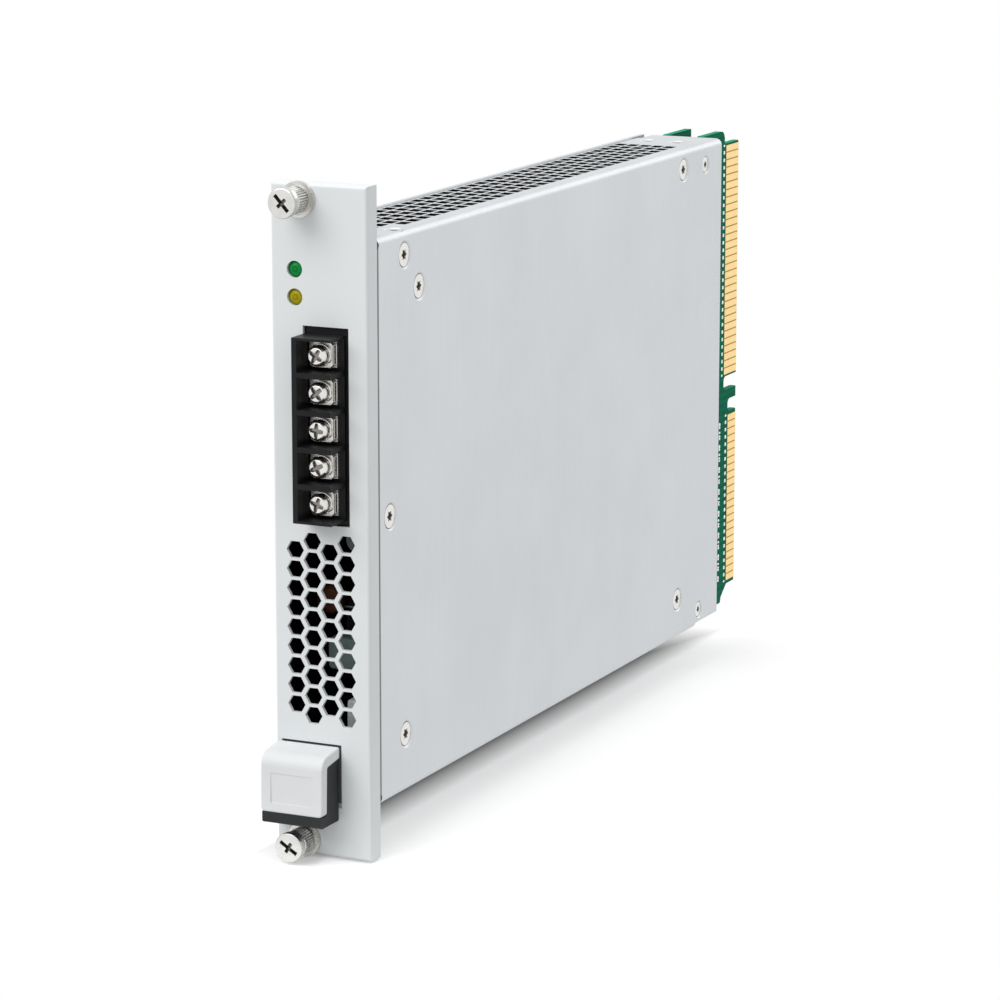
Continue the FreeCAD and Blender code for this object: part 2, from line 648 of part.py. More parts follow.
def handle_cap():
    """Bent cap over the handle: a top that slopes from the panel and a front face, with softened edges."""
    back, front = GRIP_BACK, GRIP_FRONT
    top, bottom = panel_z(HANDLE_Z[1]), panel_z(CAP_BOTTOM_Z)
    outer = (front + 0.3, top - 0.9)
    inner = (front + 0.3 + CAP_T, top - 0.7 - CAP_T)
    outline = [(back, top), outer, (front, bottom), (front + CAP_T, bottom), inner, (back, top - CAP_T)]
    cap = prism_x(outline, panel_x(HANDLE_X[0]), panel_x(HANDLE_X[1]))
    cap = round_x_edges(cap, [outer], GRIP_EDGE_R)
    cap = round_x_edges(cap, [inner], 0.6)
    sides = [panel_x(x) for x in HANDLE_X]
    corners = [e for e in cap.Edges if is_along_y(e) and any(at_corner(e, x, bottom) for x in sides)]
    cap = cap.makeFillet(CAP_CORNER_R, corners)
    past_front, below_top = front + 0.35, top - 1.0
    soft = [e for e in cap.Edges if all(v.Y < past_front or v.Z > below_top for v in e.Vertexes)]
    soft = [e for e in soft if not is_along_x(e) or e.Vertexes[0].Z < bottom + 1e-6]
    cap = cap.makeFillet(CAP_SOFT_R, soft)
    recess = block(panel_x(CAP_RECESS_X[0]), panel_x(CAP_RECESS_X[1]), front - 1, front + CAP_RECESS,
                   panel_z(CAP_RECESS_Z[0]), panel_z(CAP_RECESS_Z[1]))
    return cap.cut(recess)


def handle_body():
    """Black body under the cap, with a foot below it and a stem that runs back through the panel."""
    gap = RUN_GAP
    back, front = GRIP_BACK, GRIP_FRONT
    top, bottom, foot = panel_z(HANDLE_Z[1]), panel_z(CAP_BOTTOM_Z), panel_z(HANDLE_Z[0])
    inner = (front + 0.3 + CAP_T + gap, top - 0.7 - CAP_T - gap)
    toe = front + 0.2
    outline = [(back, top - CAP_T - gap), inner, (front + CAP_T + gap, bottom - gap), (toe, bottom - gap),
               (toe, foot), (back, foot)]
    grip = prism_x(outline, panel_x(HANDLE_X[0] + 0.2), panel_x(HANDLE_X[1] - 0.2))
    grip = round_x_edges(grip, [inner, (toe, foot)], 0.6)
    x0, x1, z0, z1 = panel_x(STEM_X[0]), panel_x(STEM_X[1]), panel_z(STEM_Z[0]), panel_z(STEM_Z[1])
    stem = block(x0, x1, back, STEM_END, z0, z1)
    stops = block(x0 - STOP_RISE, x1 + STOP_RISE, STOP_Y, STEM_END, z0, z1)
    return fuse_all([grip, stem, stops])


def handle_guide():
    """Channel behind the panel in which the handle's stem slides."""
    wall = GUIDE_WALL
    x0, x1 = panel_x(STEM_X[0] - GUIDE_RUN), panel_x(STEM_X[1] + GUIDE_RUN)
    z0, z1 = panel_z(STEM_Z[0] - STEM_GAP), panel_z(STEM_Z[1] + STEM_GAP)
    outer = block(x0 - wall, x1 + wall, 0, STEM_END + 1.5, z0 - wall, z1 + wall)
    return outer.cut(block(x0, x1, -1, STEM_END + 3, z0, z1))


def board_holes(x):
    """Clearance holes for the board screws through a board at the given place."""
    start = [Vector(x - 1, y, z) for y, z in STANDOFF_SCREWS]
    return [rod(p, X_AXIS, M3_R + 0.1, BOARD_T + 2) for p in start]


def board_back_outline():
    """Rear end of a board from the top neck to its ear, shared by both boards."""
    return [(BOARD_NECK_Y, BOARD_INNER_Z), (BOARD_NECK_Y, BOARD_NECK_Z), (BOARD_EAR_Y, BOARD_NECK_Z),
            (BOARD_EAR_Y, BOARD_EAR_TOP), (SHOULDER_Y, BOARD_EAR_TOP)]


def board_foot_outline():
    """Rear end of a board from its lower corner back to the bottom neck."""
    return [(SHOULDER_Y, BOARD_EAR_BOTTOM), (BOARD_EAR_Y, BOARD_EAR_BOTTOM), (BOARD_EAR_Y, -BOARD_NECK_Z),
            (FOOT_NECK_Y, -BOARD_NECK_Z), (FOOT_NECK_Y, -BOARD_INNER_Z)]


def main_board():
    """Main board with a keyed tongue that stands out of the rear of the box."""
    upper, lower, key = UPPER_TONGUE, LOWER_TONGUE, KEY_TAB
    tongue = [(SHOULDER_Y, upper[1]), (TIP_Y, upper[1]), (TIP_Y, upper[0]), (UPPER_ROOT_Y, upper[0]),
              (UPPER_ROOT_Y, key[1]), (TIP_Y, key[1]), (TIP_Y, key[0]), (LOWER_ROOT_Y, key[0]),
              (LOWER_ROOT_Y, lower[1]), (TIP_Y, lower[1]), (TIP_Y, lower[0]),
              (LOWER_ROOT_Y + 0.4, lower[0]), (SHOULDER_Y + 0.6, lower[0] - 2.4)]
    outline = [(BOARD_FRONT, -BOARD_INNER_Z), (BOARD_FRONT, BOARD_INNER_Z)]
    outline += board_back_outline() + tongue + board_foot_outline()
    board = prism_x(outline, MAIN_X, MAIN_X + BOARD_T)
    board = round_x_edges(board, [(SHOULDER_Y, BOARD_EAR_TOP)], BOARD_EAR_R)
    notch = [(UPPER_ROOT_Y, upper[0]), (UPPER_ROOT_Y, key[1])]
    notch += [(LOWER_ROOT_Y, key[0]), (LOWER_ROOT_Y, lower[1])]
    board = round_x_edges(board, notch, BOARD_NOTCH_R)
    tips = [e for e in board.Edges if all(abs(v.Y - TIP_Y) < 1e-6 for v in e.Vertexes) and is_along_z(e)]
    return board.makeChamfer(TIP_BEVEL, tips).cut(board_holes(MAIN_X))


def is_along_z(edge):
    """True for a straight upright edge."""
    a, b = edge.Vertexes[0].Point, edge.Vertexes[-1].Point
    return abs(a.x - b.x) < 1e-6 and abs(a.y - b.y) < 1e-6


def aux_board():
    """Second board, beside the main board in the rear half of the box."""
    outline = [(AUX_FRONT, -BOARD_INNER_Z), (AUX_FRONT, BOARD_INNER_Z)]
    outline += board_back_outline() + board_foot_outline()
    board = prism_x(outline, AUX_X, AUX_X + BOARD_T)
    return board.cut(board_holes(AUX_X)[1:])


def edge_contacts():
    """Gilded contacts on both faces of the tongue, longer on its upper part."""
    contacts = []
    for (low, high), root in ((UPPER_TONGUE, UPPER_ROOT_Y), (LOWER_TONGUE, LOWER_ROOT_Y)):
        count = int((high - low) / FINGER_PITCH)
        first = (low + high) / 2 - (count - 1) / 2 * FINGER_PITCH
        for i in range(count):
            z = first + i * FINGER_PITCH - FINGER_W / 2
            for x in (MAIN_X - FINGER_T, MAIN_X + BOARD_T):
                contacts.append(block(x, x + FINGER_T, root, TIP_Y - TIP_BEVEL, z, z + FINGER_W))
    return contacts


def standoff(y, z):
    """Hexagonal standoff between the right wall and the main board."""
    start, end = MAIN_X + BOARD_T, INNER_RIGHT
    outline = [(y + u, z + v) for u, v in ring_of(6, STANDOFF_R)]
    return prism_x(outline, start, end).cut(rod(Vector(start - 1, y, z), X_AXIS, M3_R + HOLE_GAP, 8))


def board_spacer(y, z):
    """Round spacer between the two boards."""
    start, end = AUX_X + BOARD_T, MAIN_X
    sleeve = rod(Vector(start, y, z), X_AXIS, SPACER_R, end - start)
    return sleeve.cut(rod(Vector(start - 1, y, z), X_AXIS, M3_R + 0.1, 8))


def board_screw(y, z, seat):
    """Pan-head screw from the left through the boards into a standoff."""
    end = MAIN_X + BOARD_T + BOARD_SCREW_GRIP
    head_start = Vector(seat - BOARD_SCREW_HEAD_T, y, z)
    head = rod(head_start, X_AXIS, BOARD_SCREW_HEAD_R, BOARD_SCREW_HEAD_T)
    shank = rod(Vector(seat, y, z), X_AXIS, M3_R, end - seat)
    return fuse_all([head, shank])


def board_header():
    """Connector that joins the two boards."""
    left, (y0, y1), half = AUX_X + BOARD_T, HEADER_Y, HEADER_HALF
    body = block(left, MAIN_X, y0, y1, -half, half)
    groove = block(left + 1.6, left + 2.2, y0 - 1, y1 + 1, -half - 1, half + 1)
    core = block(left, MAIN_X, y0 + 1, y1 - 1, -half + 1, half - 1)
    return body.cut(groove.cut(core))


def fuse_link():
    """Cartridge fuse along the depth, with a metal cap at each end."""
    y0, y1 = FUSE_Y
    caps = [rod(Vector(FUSE_X, y, FUSE_Z), Y_AXIS, FUSE_CAP_R, FUSE_CAP_L) for y in (y0, y1 - FUSE_CAP_L)]
    tube = rod(Vector(FUSE_X, y0 + 1, FUSE_Z), Y_AXIS, FUSE_TUBE_R, y1 - y0 - 2)
    return fuse_all([tube] + caps)


def fuse_clips():
    """Two spring clips that hold the fuse on the main board."""
    x, z = FUSE_X, FUSE_Z
    clips = []
    for y in CLIP_Y:
        outer = block(x - 1.5, MAIN_X, y, y + CLIP_L, z - CLIP_HALF, z + CLIP_HALF)
        bore = rod(Vector(x, y - 1, z), Y_AXIS, FUSE_CAP_R + RUN_GAP, CLIP_L + 2)
        mouth = block(x - 3, x, y - 1, y + CLIP_L + 1, z - 2.0, z + 2.0)
        clips.append(outer.cut([bore, mouth]))
    return clips


def film_capacitor():
    """Moulded film capacitor behind the terminal block."""
    (y0, y1), (z0, z1) = FILM_CAP_Y, FILM_CAP_Z
    body = block(PART_LEFT + 0.2, MAIN_X - 0.3, y0, y1, z0, z1)
    body = body.makeChamfer(0.5, body.Edges)
    foot_z = (z0 + z1) / 2 - 0.4
    feet = [block(MAIN_X - 0.8, MAIN_X, y, y + 1.0, foot_z, foot_z + 0.8) for y in (y0 + 1.6, y1 - 2.6)]
    return fuse_all([body] + feet)


def choke_core():
    """Toroidal core of the input choke, its axis across the board."""
    (x0, x1), (bore, rim) = CORE_X, CORE_R
    ring = rod(Vector(x0, CHOKE_Y, CHOKE_Z), X_AXIS, rim, x1 - x0)
    return ring.cut(rod(Vector(x0 - 1, CHOKE_Y, CHOKE_Z), X_AXIS, bore, x1 - x0 + 2))


def upright_rectangle(x0, x1, z0, z1):
    """Flat face in the plane through the X and Z axes."""
    corners = [Vector(x0, 0, z0), Vector(x1, 0, z0), Vector(x1, 0, z1), Vector(x0, 0, z1)]
    return Part.Face(Part.makePolygon(corners + corners[:1]))


def choke_windings():
    """Two coils wound round the toroid, each over part of its ring."""
    gap = RUN_GAP
    outer = upright_rectangle(*COIL_X, *COIL_R)
    inner = upright_rectangle(CORE_X[0] - gap, CORE_X[1] + gap, CORE_R[0] - gap, CORE_R[1] + gap)
    coils = []
    for start in COIL_STARTS:
        section = outer.cut(inner)
        coil = section.Faces[0].revolve(Vector(0, 0, 0), X_AXIS, COIL_ARC)
        coil.rotate(Vector(0, 0, 0), X_AXIS, start)
        coil.translate(Vector(0, CHOKE_Y, CHOKE_Z))
        coils.append(coil)
    return coils


def bulk_capacitor(z):
    """Electrolytic capacitor lying along the depth, with the rounded edge of its can to the rear."""
    r, (y0, y1) = BULK_R, BULK_Y
    points = [(0, y0), (r, y0), (r, y1 - 0.6), (r - 0.6, y1), (0, y1)]
    return turned(points, MAIN_X - r - RUN_GAP, z)


def transformer_core():
    """Low ferrite core with two windows along the depth."""
    (y0, y1), (z0, z1) = TRANSFORMER_Y, TRANSFORMER_Z
    core = block(PART_LEFT, MAIN_X - 0.4, y0 + CORE_END, y1 - CORE_END, z0, z1)
    lower, upper = z0 + CORE_WALL, z1 - CORE_WALL - CORE_WINDOW_H
    windows = [block(*CORE_WINDOW_X, y0 - 1, y1 + 1, z, z + CORE_WINDOW_H) for z in (lower, upper)]
    return core.cut(windows)


def transformer_winding():
    """Flat coil round the middle leg of the core."""
    (y0, y1), (z0, z1) = TRANSFORMER_Y, TRANSFORMER_Z
    (x0, x1), gap = CORE_WINDOW_X, COIL_GAP
    edge = CORE_WALL + gap
    coil = block(x0 + gap, x1 - gap, y0 + 1, y1 - 1, z0 + edge, z1 - edge)
    coil = coil.makeFillet(4.0, [e for e in coil.Edges if is_along_x(e)])
    leg_z = CORE_WALL + CORE_WINDOW_H - gap
    leg = block(x0 - 1, x1 + 1, y0 + CORE_END - gap, y1 - CORE_END + gap, z0 + leg_z, z1 - leg_z)
    return coil.cut(leg)


def is_along_x(edge):
    """True for a straight edge across the board."""
    a, b = edge.Vertexes[0].Point, edge.Vertexes[-1].Point
    return abs(a.y - b.y) < 1e-6 and abs(a.z - b.z) < 1e-6


def heat_sink():
    """Extruded heat sink with upright fins, standing on the main board."""
    base = block(SINK_BASE_X, MAIN_X, *SINK_Y, -SINK_HALF, SINK_HALF)
    starts = [FIN_FIRST_Y + i * FIN_PITCH for i in range(FIN_COUNT)]
    fins = [block(PART_LEFT, SINK_BASE_X, y, y + FIN_T, -SINK_HALF, SINK_HALF) for y in starts]
    return fuse_all([base] + fins)


def power_switch(z):
    """Power transistor on the front of the heat sink's base, with its mounting tab and its leg."""
    (x0, x1), (y0, y1), half = SWITCH_X, SWITCH_Y, SWITCH_HALF
    clear = SINK_BASE_X - 0.1
    body = block(x0, x1, y0, y1, z - half, z + half)
    body = body.cut(block(clear, x1 + 1, SINK_Y[0] - 0.1, y1 + 1, z - half - 1, z + half + 1))
    tab = block(PART_LEFT, clear, *SWITCH_TAB_Y, z - half, z + half)
    leg = block(x1, MAIN_X, *SWITCH_LEG_Y, z - 3.0, z + 3.0)
    return fuse_all([body, tab, leg])


def output_inductor(z):
    """Moulded power inductor on the second board."""
    body = block(PART_LEFT + 0.2, AUX_X, *INDUCTOR_Y, z - INDUCTOR_HALF, z + INDUCTOR_HALF)
    return body.makeFillet(0.8, [e for e in body.Edges if is_along_x(e)])


def output_capacitor(z):
    """Upright polymer capacitor can on the second board."""
    left = PART_LEFT + CAN_RIM
    can = rod(Vector(left, CAN_Y, z), X_AXIS, CAN_R, AUX_X - left)
    rim = Part.makeCone(CAN_R - CAN_RIM, CAN_R, CAN_RIM, Vector(PART_LEFT, CAN_Y, z), X_AXIS)
    return fuse_all([can, rim])


def control_chip():
    """Control chip in a flat package on the second board."""
    return block(AUX_X - CHIP_T, AUX_X, *CHIP_Y, *CHIP_Z)


def insulating_sheets():
    """Thin insulating films: one on the right wall beside the solder side, one inside the left cover."""
    wall = block(INNER_RIGHT - FILM_T, INNER_RIGHT, *WALL_FILM_Y, -WALL_FILM_HALF, WALL_FILM_HALF)
    cover = block(INNER_LEFT, INNER_LEFT + FILM_T, *COVER_FILM_Y, -COVER_FILM_HALF, COVER_FILM_HALF)
    return [wall, cover]


def save_front():
    """Panel, lamps, terminal block, captive screws and handle."""
    save("front_panel", front_panel())
    save("green_lamp", lamp(GREEN_Z))
    save("yellow_lamp", lamp(YELLOW_Z))
    save("lamp_holder", lamp_holder())
    save("terminal_housing", terminal_housing())
    save("terminal_contacts", *[terminal_contact(z) for z in pole_heights()])
    for number, z in enumerate(pole_heights(), 1):
        save("terminal_clamp_" + str(number), terminal_clamp(z))
        save("terminal_screw_" + str(number), terminal_screw(z))
    for end, side in (("top", 1), ("bottom", -1)):
        save(end + "_screw_bush", screw_bush(side))
        save(end + "_retaining_ring", retaining_ring(side))
        save(end + "_thumbscrew", thumbscrew(side))
    save("handle_cap", handle_cap())
    save("handle_body", handle_body())
    save("handle_guide", handle_guide())


def save_box():
    """Folded sheets, brackets and the screws that hold them."""
    save("chassis", chassis())
    save("side_cover", side_cover())
    save("rear_top_bracket", rear_bracket(1))
    save("rear_bottom_bracket", rear_bracket(-1))
    wall = right_wall_points(LUG_SCREWS + STANDOFF_SCREWS)
    save("wall_screws", *[csk_screw(p, -X_AXIS, WALL_SCREW_L) for p in wall])
    small = right_wall_points(REAR_SMALL_SCREWS)
    save("rear_wall_screws", *[csk_screw(p, -X_AXIS, SMALL_SCREW_L, SMALL_R, SMALL_HEAD_R) for p in small])
    for name, side in (("top_screws", 1), ("bottom_screws", -1)):
        places = end_points(side * BOX_TOP)
        save(name, *[csk_screw(p, Z_AXIS * -side, SMALL_SCREW_L, SMALL_R, SMALL_HEAD_R) for p in places])
    save("cover_screws", *[csk_screw(p, X_AXIS, COVER_SCREW_L) for p in cover_points()])


def save_boards():
    """Circuit boards with what joins and carries them."""
    save("main_board", main_board())
    save("edge_contacts", *edge_contacts())
    save("aux_board", aux_board())
    save("board_header", board_header())
    save("standoffs", *[standoff(y, z) for y, z in STANDOFF_SCREWS])
    save("board_spacers", *[board_spacer(y, z) for y, z in STANDOFF_SCREWS[1:]])
    seats = [MAIN_X, AUX_X, AUX_X]
    save("board_screws", *[board_screw(y, z, seat) for (y, z), seat in zip(STANDOFF_SCREWS, seats)])
    save("insulating_sheet", *insulating_sheets())


def save_components():
    """Power components on both boards."""
    save("fuse_link", fuse_link())
    save("fuse_clips", *fuse_clips())
    save("film_capacitor", film_capacitor())
    save("choke_core", choke_core())
    save("choke_windings", *choke_windings())
    save("bulk_capacitors", *[bulk_capacitor(z) for z in BULK_Z])
    save("transformer_core", transformer_core())
    save("transformer_winding", transformer_winding())
    save("heat_sink", heat_sink())
    save("power_switches", *[power_switch(z) for z in SWITCH_Z])
    save("output_inductors", *[output_inductor(z) for z in INDUCTOR_Z])
    save("output_capacitors", *[output_capacitor(z) for z in CAN_Z])
    save("control_chip", control_chip())


os.makedirs("parts", exist_ok=True)
save_front()
save_box()
save_boards()
save_components()
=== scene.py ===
import math

import bmesh
import bpy
import numpy as np
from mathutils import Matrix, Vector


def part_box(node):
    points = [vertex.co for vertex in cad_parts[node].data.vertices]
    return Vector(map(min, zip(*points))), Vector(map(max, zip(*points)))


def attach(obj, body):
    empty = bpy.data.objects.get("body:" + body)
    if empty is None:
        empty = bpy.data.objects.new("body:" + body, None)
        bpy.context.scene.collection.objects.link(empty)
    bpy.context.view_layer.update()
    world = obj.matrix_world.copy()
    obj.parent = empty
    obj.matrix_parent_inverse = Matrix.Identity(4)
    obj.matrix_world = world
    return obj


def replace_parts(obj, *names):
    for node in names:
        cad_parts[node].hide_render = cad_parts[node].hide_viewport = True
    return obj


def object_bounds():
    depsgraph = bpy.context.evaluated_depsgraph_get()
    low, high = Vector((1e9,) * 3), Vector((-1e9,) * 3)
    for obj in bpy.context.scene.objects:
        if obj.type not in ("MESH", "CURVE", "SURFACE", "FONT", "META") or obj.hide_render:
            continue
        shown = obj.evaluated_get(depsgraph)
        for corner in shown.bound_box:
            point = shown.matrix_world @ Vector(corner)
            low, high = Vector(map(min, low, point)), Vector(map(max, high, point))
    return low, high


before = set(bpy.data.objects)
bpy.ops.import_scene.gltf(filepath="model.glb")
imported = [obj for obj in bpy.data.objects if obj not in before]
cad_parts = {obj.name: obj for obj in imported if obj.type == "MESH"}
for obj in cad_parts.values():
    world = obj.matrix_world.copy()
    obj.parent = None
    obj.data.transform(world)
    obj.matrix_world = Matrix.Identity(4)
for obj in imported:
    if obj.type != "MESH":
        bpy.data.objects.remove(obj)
cad_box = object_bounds()


# Chassis, side cover and rear brackets
# One sheet of satin rolled aluminium, punched, folded round three sides and closed by a flat
# cover on the left. Its fine grain runs up the wall and on across the top.
SHEET_DARK = (0.592, 0.614, 0.632)
SHEET_LIGHT = (0.657, 0.680, 0.698)
# Painted shade, near black, on the upright walls of the punched slots.
SLOT_WALL_SHADE = (0.030, 0.034, 0.036)
# Painted shadow line, dark grey, along the sheet's front edge against the panel, over the band's length
# below.
FRONT_EDGE_SHADE = (0.20, 0.21, 0.215)
FRONT_EDGE_BAND = 0.0005
SHEET = 0.00105
SLOTTED_X = (-0.0032, 0.0108)
# Painted shade, black, on the sheet's inner faces for the given length behind the front.
INNER_FACE_SHADE = (0.004, 0.006, 0.0055)
INNER_SHADE_LENGTH = 0.012
GRAIN_CELLS = 1100
GRAIN_STRETCH = (0.06, 1, 0.06)
GRAIN_HEIGHT = 0.000008


def new_material(name):
    """Node material with nothing linked yet: itself, its tree, its shader and Object coordinates."""
    made = bpy.data.materials.new(name)
    made.use_nodes = True
    tree = made.node_tree
    return made, tree, tree.nodes["Principled BSDF"], tree.nodes.new("ShaderNodeTexCoord").outputs["Object"]


def node(tree, kind, values=None, **settings):
    """One shader node: settings are its options, values go to its sockets as numbers or as links."""
    made = tree.nodes.new("ShaderNode" + kind)
    for key, value in settings.items():
        setattr(made, key, value)
    for key, value in (values or {}).items():
        if isinstance(value, bpy.types.NodeSocket):
            tree.links.new(value, made.inputs[key])
        else:
            made.inputs[key].default_value = value
    return made


def noise(tree, place, scale, detail=3.0, stretch=(1, 1, 1)):
    """Noise of so many cells a metre, drawn out where stretch is below one along an axis."""
    drawn = node(tree, "Mapping", {"Vector": place, "Scale": stretch}).outputs[0]
    return node(tree, "TexNoise", {"Vector": drawn, "Scale": scale, "Detail": detail}).outputs["Fac"]


def ramp(tree, factor, *stops):
    """Colour or grey level read off a factor between stops of (place, level)."""
    made = node(tree, "ValToRGB", {"Fac": factor})
    points = made.color_ramp.elements
    while len(points) < len(stops):
        points.new(0.5)
    for point, (where, level) in zip(points, stops):
        point.position = where
        point.color = (*level, 1) if isinstance(level, tuple) else (level, level, level, 1)
    return made.outputs["Color"]


def relief(tree, height, depth, strength=1.0):
    """Surface normal of a bump whose full height is depth metres."""
    return node(tree, "Bump", {"Height": height, "Distance": depth, "Strength": strength}).outputs["Normal"]


def plug(tree, shader, **sockets):
    """Set the shader's sockets, named with _ for a blank, to numbers or links."""
    for key, value in sockets.items():
        socket = shader.inputs[key.replace("_", " ")]
        if isinstance(value, bpy.types.NodeSocket):
            tree.links.new(value, socket)
        else:
            socket.default_value = value


def mix(tree, factor, first, second):
    """Two colours mixed by a factor."""
    return node(tree, "MixRGB", {"Fac": factor, "Color1": first, "Color2": second}).outputs["Color"]


def maths(tree, operation, *values):
    """Result of one calculation on numbers or links."""
    return node(tree, "Math", dict(enumerate(values)), operation=operation).outputs[0]


def between(tree, value, start, end):
    """One where a value lies from start to end, else nought."""
    return maths(tree, "COMPARE", value, (start + end) / 2, (end - start) / 2)


def satin_sheet():
    """Rolled sheet: upright grain in roughness and height, over wide faint clouds in colour. The upright
    edges of the punched slots are painted near black as shade, a thin band along the front edge is painted
    dark grey as a shadow line against the panel, and the sheet's inner faces are painted black as shade for
    a short way behind the vent."""
    low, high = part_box("chassis")
    made, tree, shader, place = new_material("satin_sheet")
    grain = noise(tree, place, GRAIN_CELLS, 4.0, GRAIN_STRETCH)
    clouds = noise(tree, place, 45)
    colour = mix(tree, 0.5, ramp(tree, grain, (0.3, SHEET_DARK), (0.7, SHEET_LIGHT)),
                 ramp(tree, clouds, (0.3, SHEET_DARK), (0.7, SHEET_LIGHT)))
    at = node(tree, "SeparateXYZ", {"Vector": place}).outputs
    facing = node(tree, "SeparateXYZ", {"Vector": node(tree, "NewGeometry").outputs["Normal"]}).outputs["Z"]
    # Painted shade on the slot walls, along the front edge and on the inner faces near the front, chosen by
    # place and normal.
    in_sheet = maths(tree, "GREATER_THAN", maths(tree, "ABSOLUTE", at["Z"]), high.z - SHEET)
    upright = maths(tree, "LESS_THAN", maths(tree, "ABSOLUTE", facing), 0.5)
    painted_slot_shade = maths(tree, "MULTIPLY", in_sheet, upright)
    painted_slot_shade = maths(tree, "MULTIPLY", painted_slot_shade, between(tree, at["X"], *SLOTTED_X))
    front = maths(tree, "LESS_THAN", at["Y"], low.y + FRONT_EDGE_BAND)
    colour = mix(tree, front, colour, (*FRONT_EDGE_SHADE, 1))
    painted_inner_shade = maths(tree, "LESS_THAN", at["Y"], low.y + INNER_SHADE_LENGTH)
    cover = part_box("side_cover")[0].x
    for axis, start, end, skin in (("X", cover, high.x, SHEET / 2), ("Z", low.z, high.z, 2 * SHEET)):
        painted_inner_shade = maths(tree, "MULTIPLY", painted_inner_shade, between(tree, at[axis], start + skin, end - skin))
    colour = mix(tree, painted_inner_shade, colour, (*INNER_FACE_SHADE, 1))
    plug(tree, shader, Base_Color=mix(tree, painted_slot_shade, colour, (*SLOT_WALL_SHADE, 1)), Metallic=1.0,
         Roughness=ramp(tree, grain, (0.3, 0.42), (0.7, 0.52)),
         Normal=relief(tree, grain, GRAIN_HEIGHT))
    return made


def dress(made, *names):
    """Give CAD nodes a finish in the material slots that they come with."""
    for name in names:
        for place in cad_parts[name].material_slots:
            place.material = made


dress(satin_sheet(), "chassis", "side_cover", "rear_top_bracket", "rear_bottom_bracket")


# Circuit boards
# Two glass-fibre boards with green solder resist over copper tracks. The main board ends in the
# keyed tongue of the connector, and tinned holes stand in a row before its contacts.
RESIST = (0.0005, 0.142, 0.074)
RESIST_TRACK = (0.001, 0.172, 0.092)
LAMINATE = (0.010, 0.31, 0.155)
BARE_LAMINATE = (0.60, 0.38, 0.13)
TRACK_PITCH = 0.0017
PAD_RADIUS = 0.00027
PAD_LONG = 1.8
SECOND_PITCH = 0.00254
SECOND_PADS = (0.0022, 0.0048)
PAD_RISE = 0.00009
PAD_BACK = 0.0011
INNER_PAD_BACK = 0.0119
PAD_COLUMNS = 14
SECOND_MARGIN = 0.004
CONTACT_GAP = 0.0002
CONTACT_GROUP_GAP = 0.003
# Painted shade: the dull dark colour that plated parts take where their points are marked as shaded.
RECESS_SHADE = (0.022, 0.021, 0.020)


def solder_resist():
    """Resist over tracks on the faces, paler laminate on the cut edges, told apart by the normal, and bare
    amber laminate between the contacts, where the resist is left open."""
    made, tree, shader, place = new_material("solder_resist")
    parts = node(tree, "SeparateXYZ", {"Vector": place}).outputs
    line = maths(tree, "PINGPONG", parts["Z"], TRACK_PITCH / 2)
    tracks = ramp(tree, maths(tree, "MULTIPLY", line, 2 / TRACK_PITCH), (0.52, 0.0), (0.60, 1.0))
    normal = node(tree, "SeparateXYZ", {"Vector": node(tree, "NewGeometry").outputs["Normal"]}).outputs["X"]
    face = ramp(tree, maths(tree, "ABSOLUTE", normal), (0.4, 0.0), (0.6, 1.0))
    weave = noise(tree, place, 1400)
    faces = mix(tree, tracks, (*RESIST, 1), (*RESIST_TRACK, 1))
    for low, high in contact_groups:
        opened = maths(tree, "MULTIPLY", between(tree, parts["Y"], low[1], high[1]),
                       between(tree, parts["Z"], low[2], high[2]))
        faces = mix(tree, opened, faces, (*BARE_LAMINATE, 1))
    edges = ramp(tree, weave, (0.3, LAMINATE), (0.7, tuple(0.8 * c for c in LAMINATE)))
    plug(tree, shader, Base_Color=mix(tree, face, edges, faces),
         Roughness=ramp(tree, weave, (0.3, 0.42), (0.7, 0.52)),
         Normal=relief(tree, tracks, 0.00003, 0.6), Specular_IOR_Level=0.015)
    return made


def plated(name, dark, light, rough, cells=700):
    """Plated metal: cloudy stain in colour, polish marks in roughness, and painted shade, a dull dark
    colour, mixed in wherever a piece marks its points as shaded in its attribute."""
    made, tree, shader, place = new_material(name)
    stain = noise(tree, place, cells, 2.0)
    marks = noise(tree, place, cells * 4, 2.0)
    # Painted shade, read from the point attribute that the piece's mesh carries.
    painted_shade = node(tree, "Attribute", attribute_name="painted_shade").outputs["Fac"]
    bright = ramp(tree, stain, (0.3, dark), (0.7, light))
    plug(tree, shader, Base_Color=mix(tree, painted_shade, bright, (*RECESS_SHADE, 1)), Metallic=1.0,
         Roughness=ramp(tree, marks, (0.3, rough), (0.7, rough + 0.08)))
    return made


def solids_of(name, axes, gap):
    """Boxes of the separate solids in a node: its points split wherever a clear gap lies along an axis."""
    points = np.empty(len(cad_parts[name].data.vertices) * 3)
    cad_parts[name].data.vertices.foreach_get("co", points)
    groups = [points.reshape(-1, 3)]
    for axis in axes:
        split = []
        for group in groups:
            ordered = group[np.argsort(group[:, axis])]
            cuts = np.flatnonzero(np.diff(ordered[:, axis]) > gap) + 1
            split += np.split(ordered, cuts)
        groups = split
    return np.array([(group.min(0), group.max(0)) for group in groups])


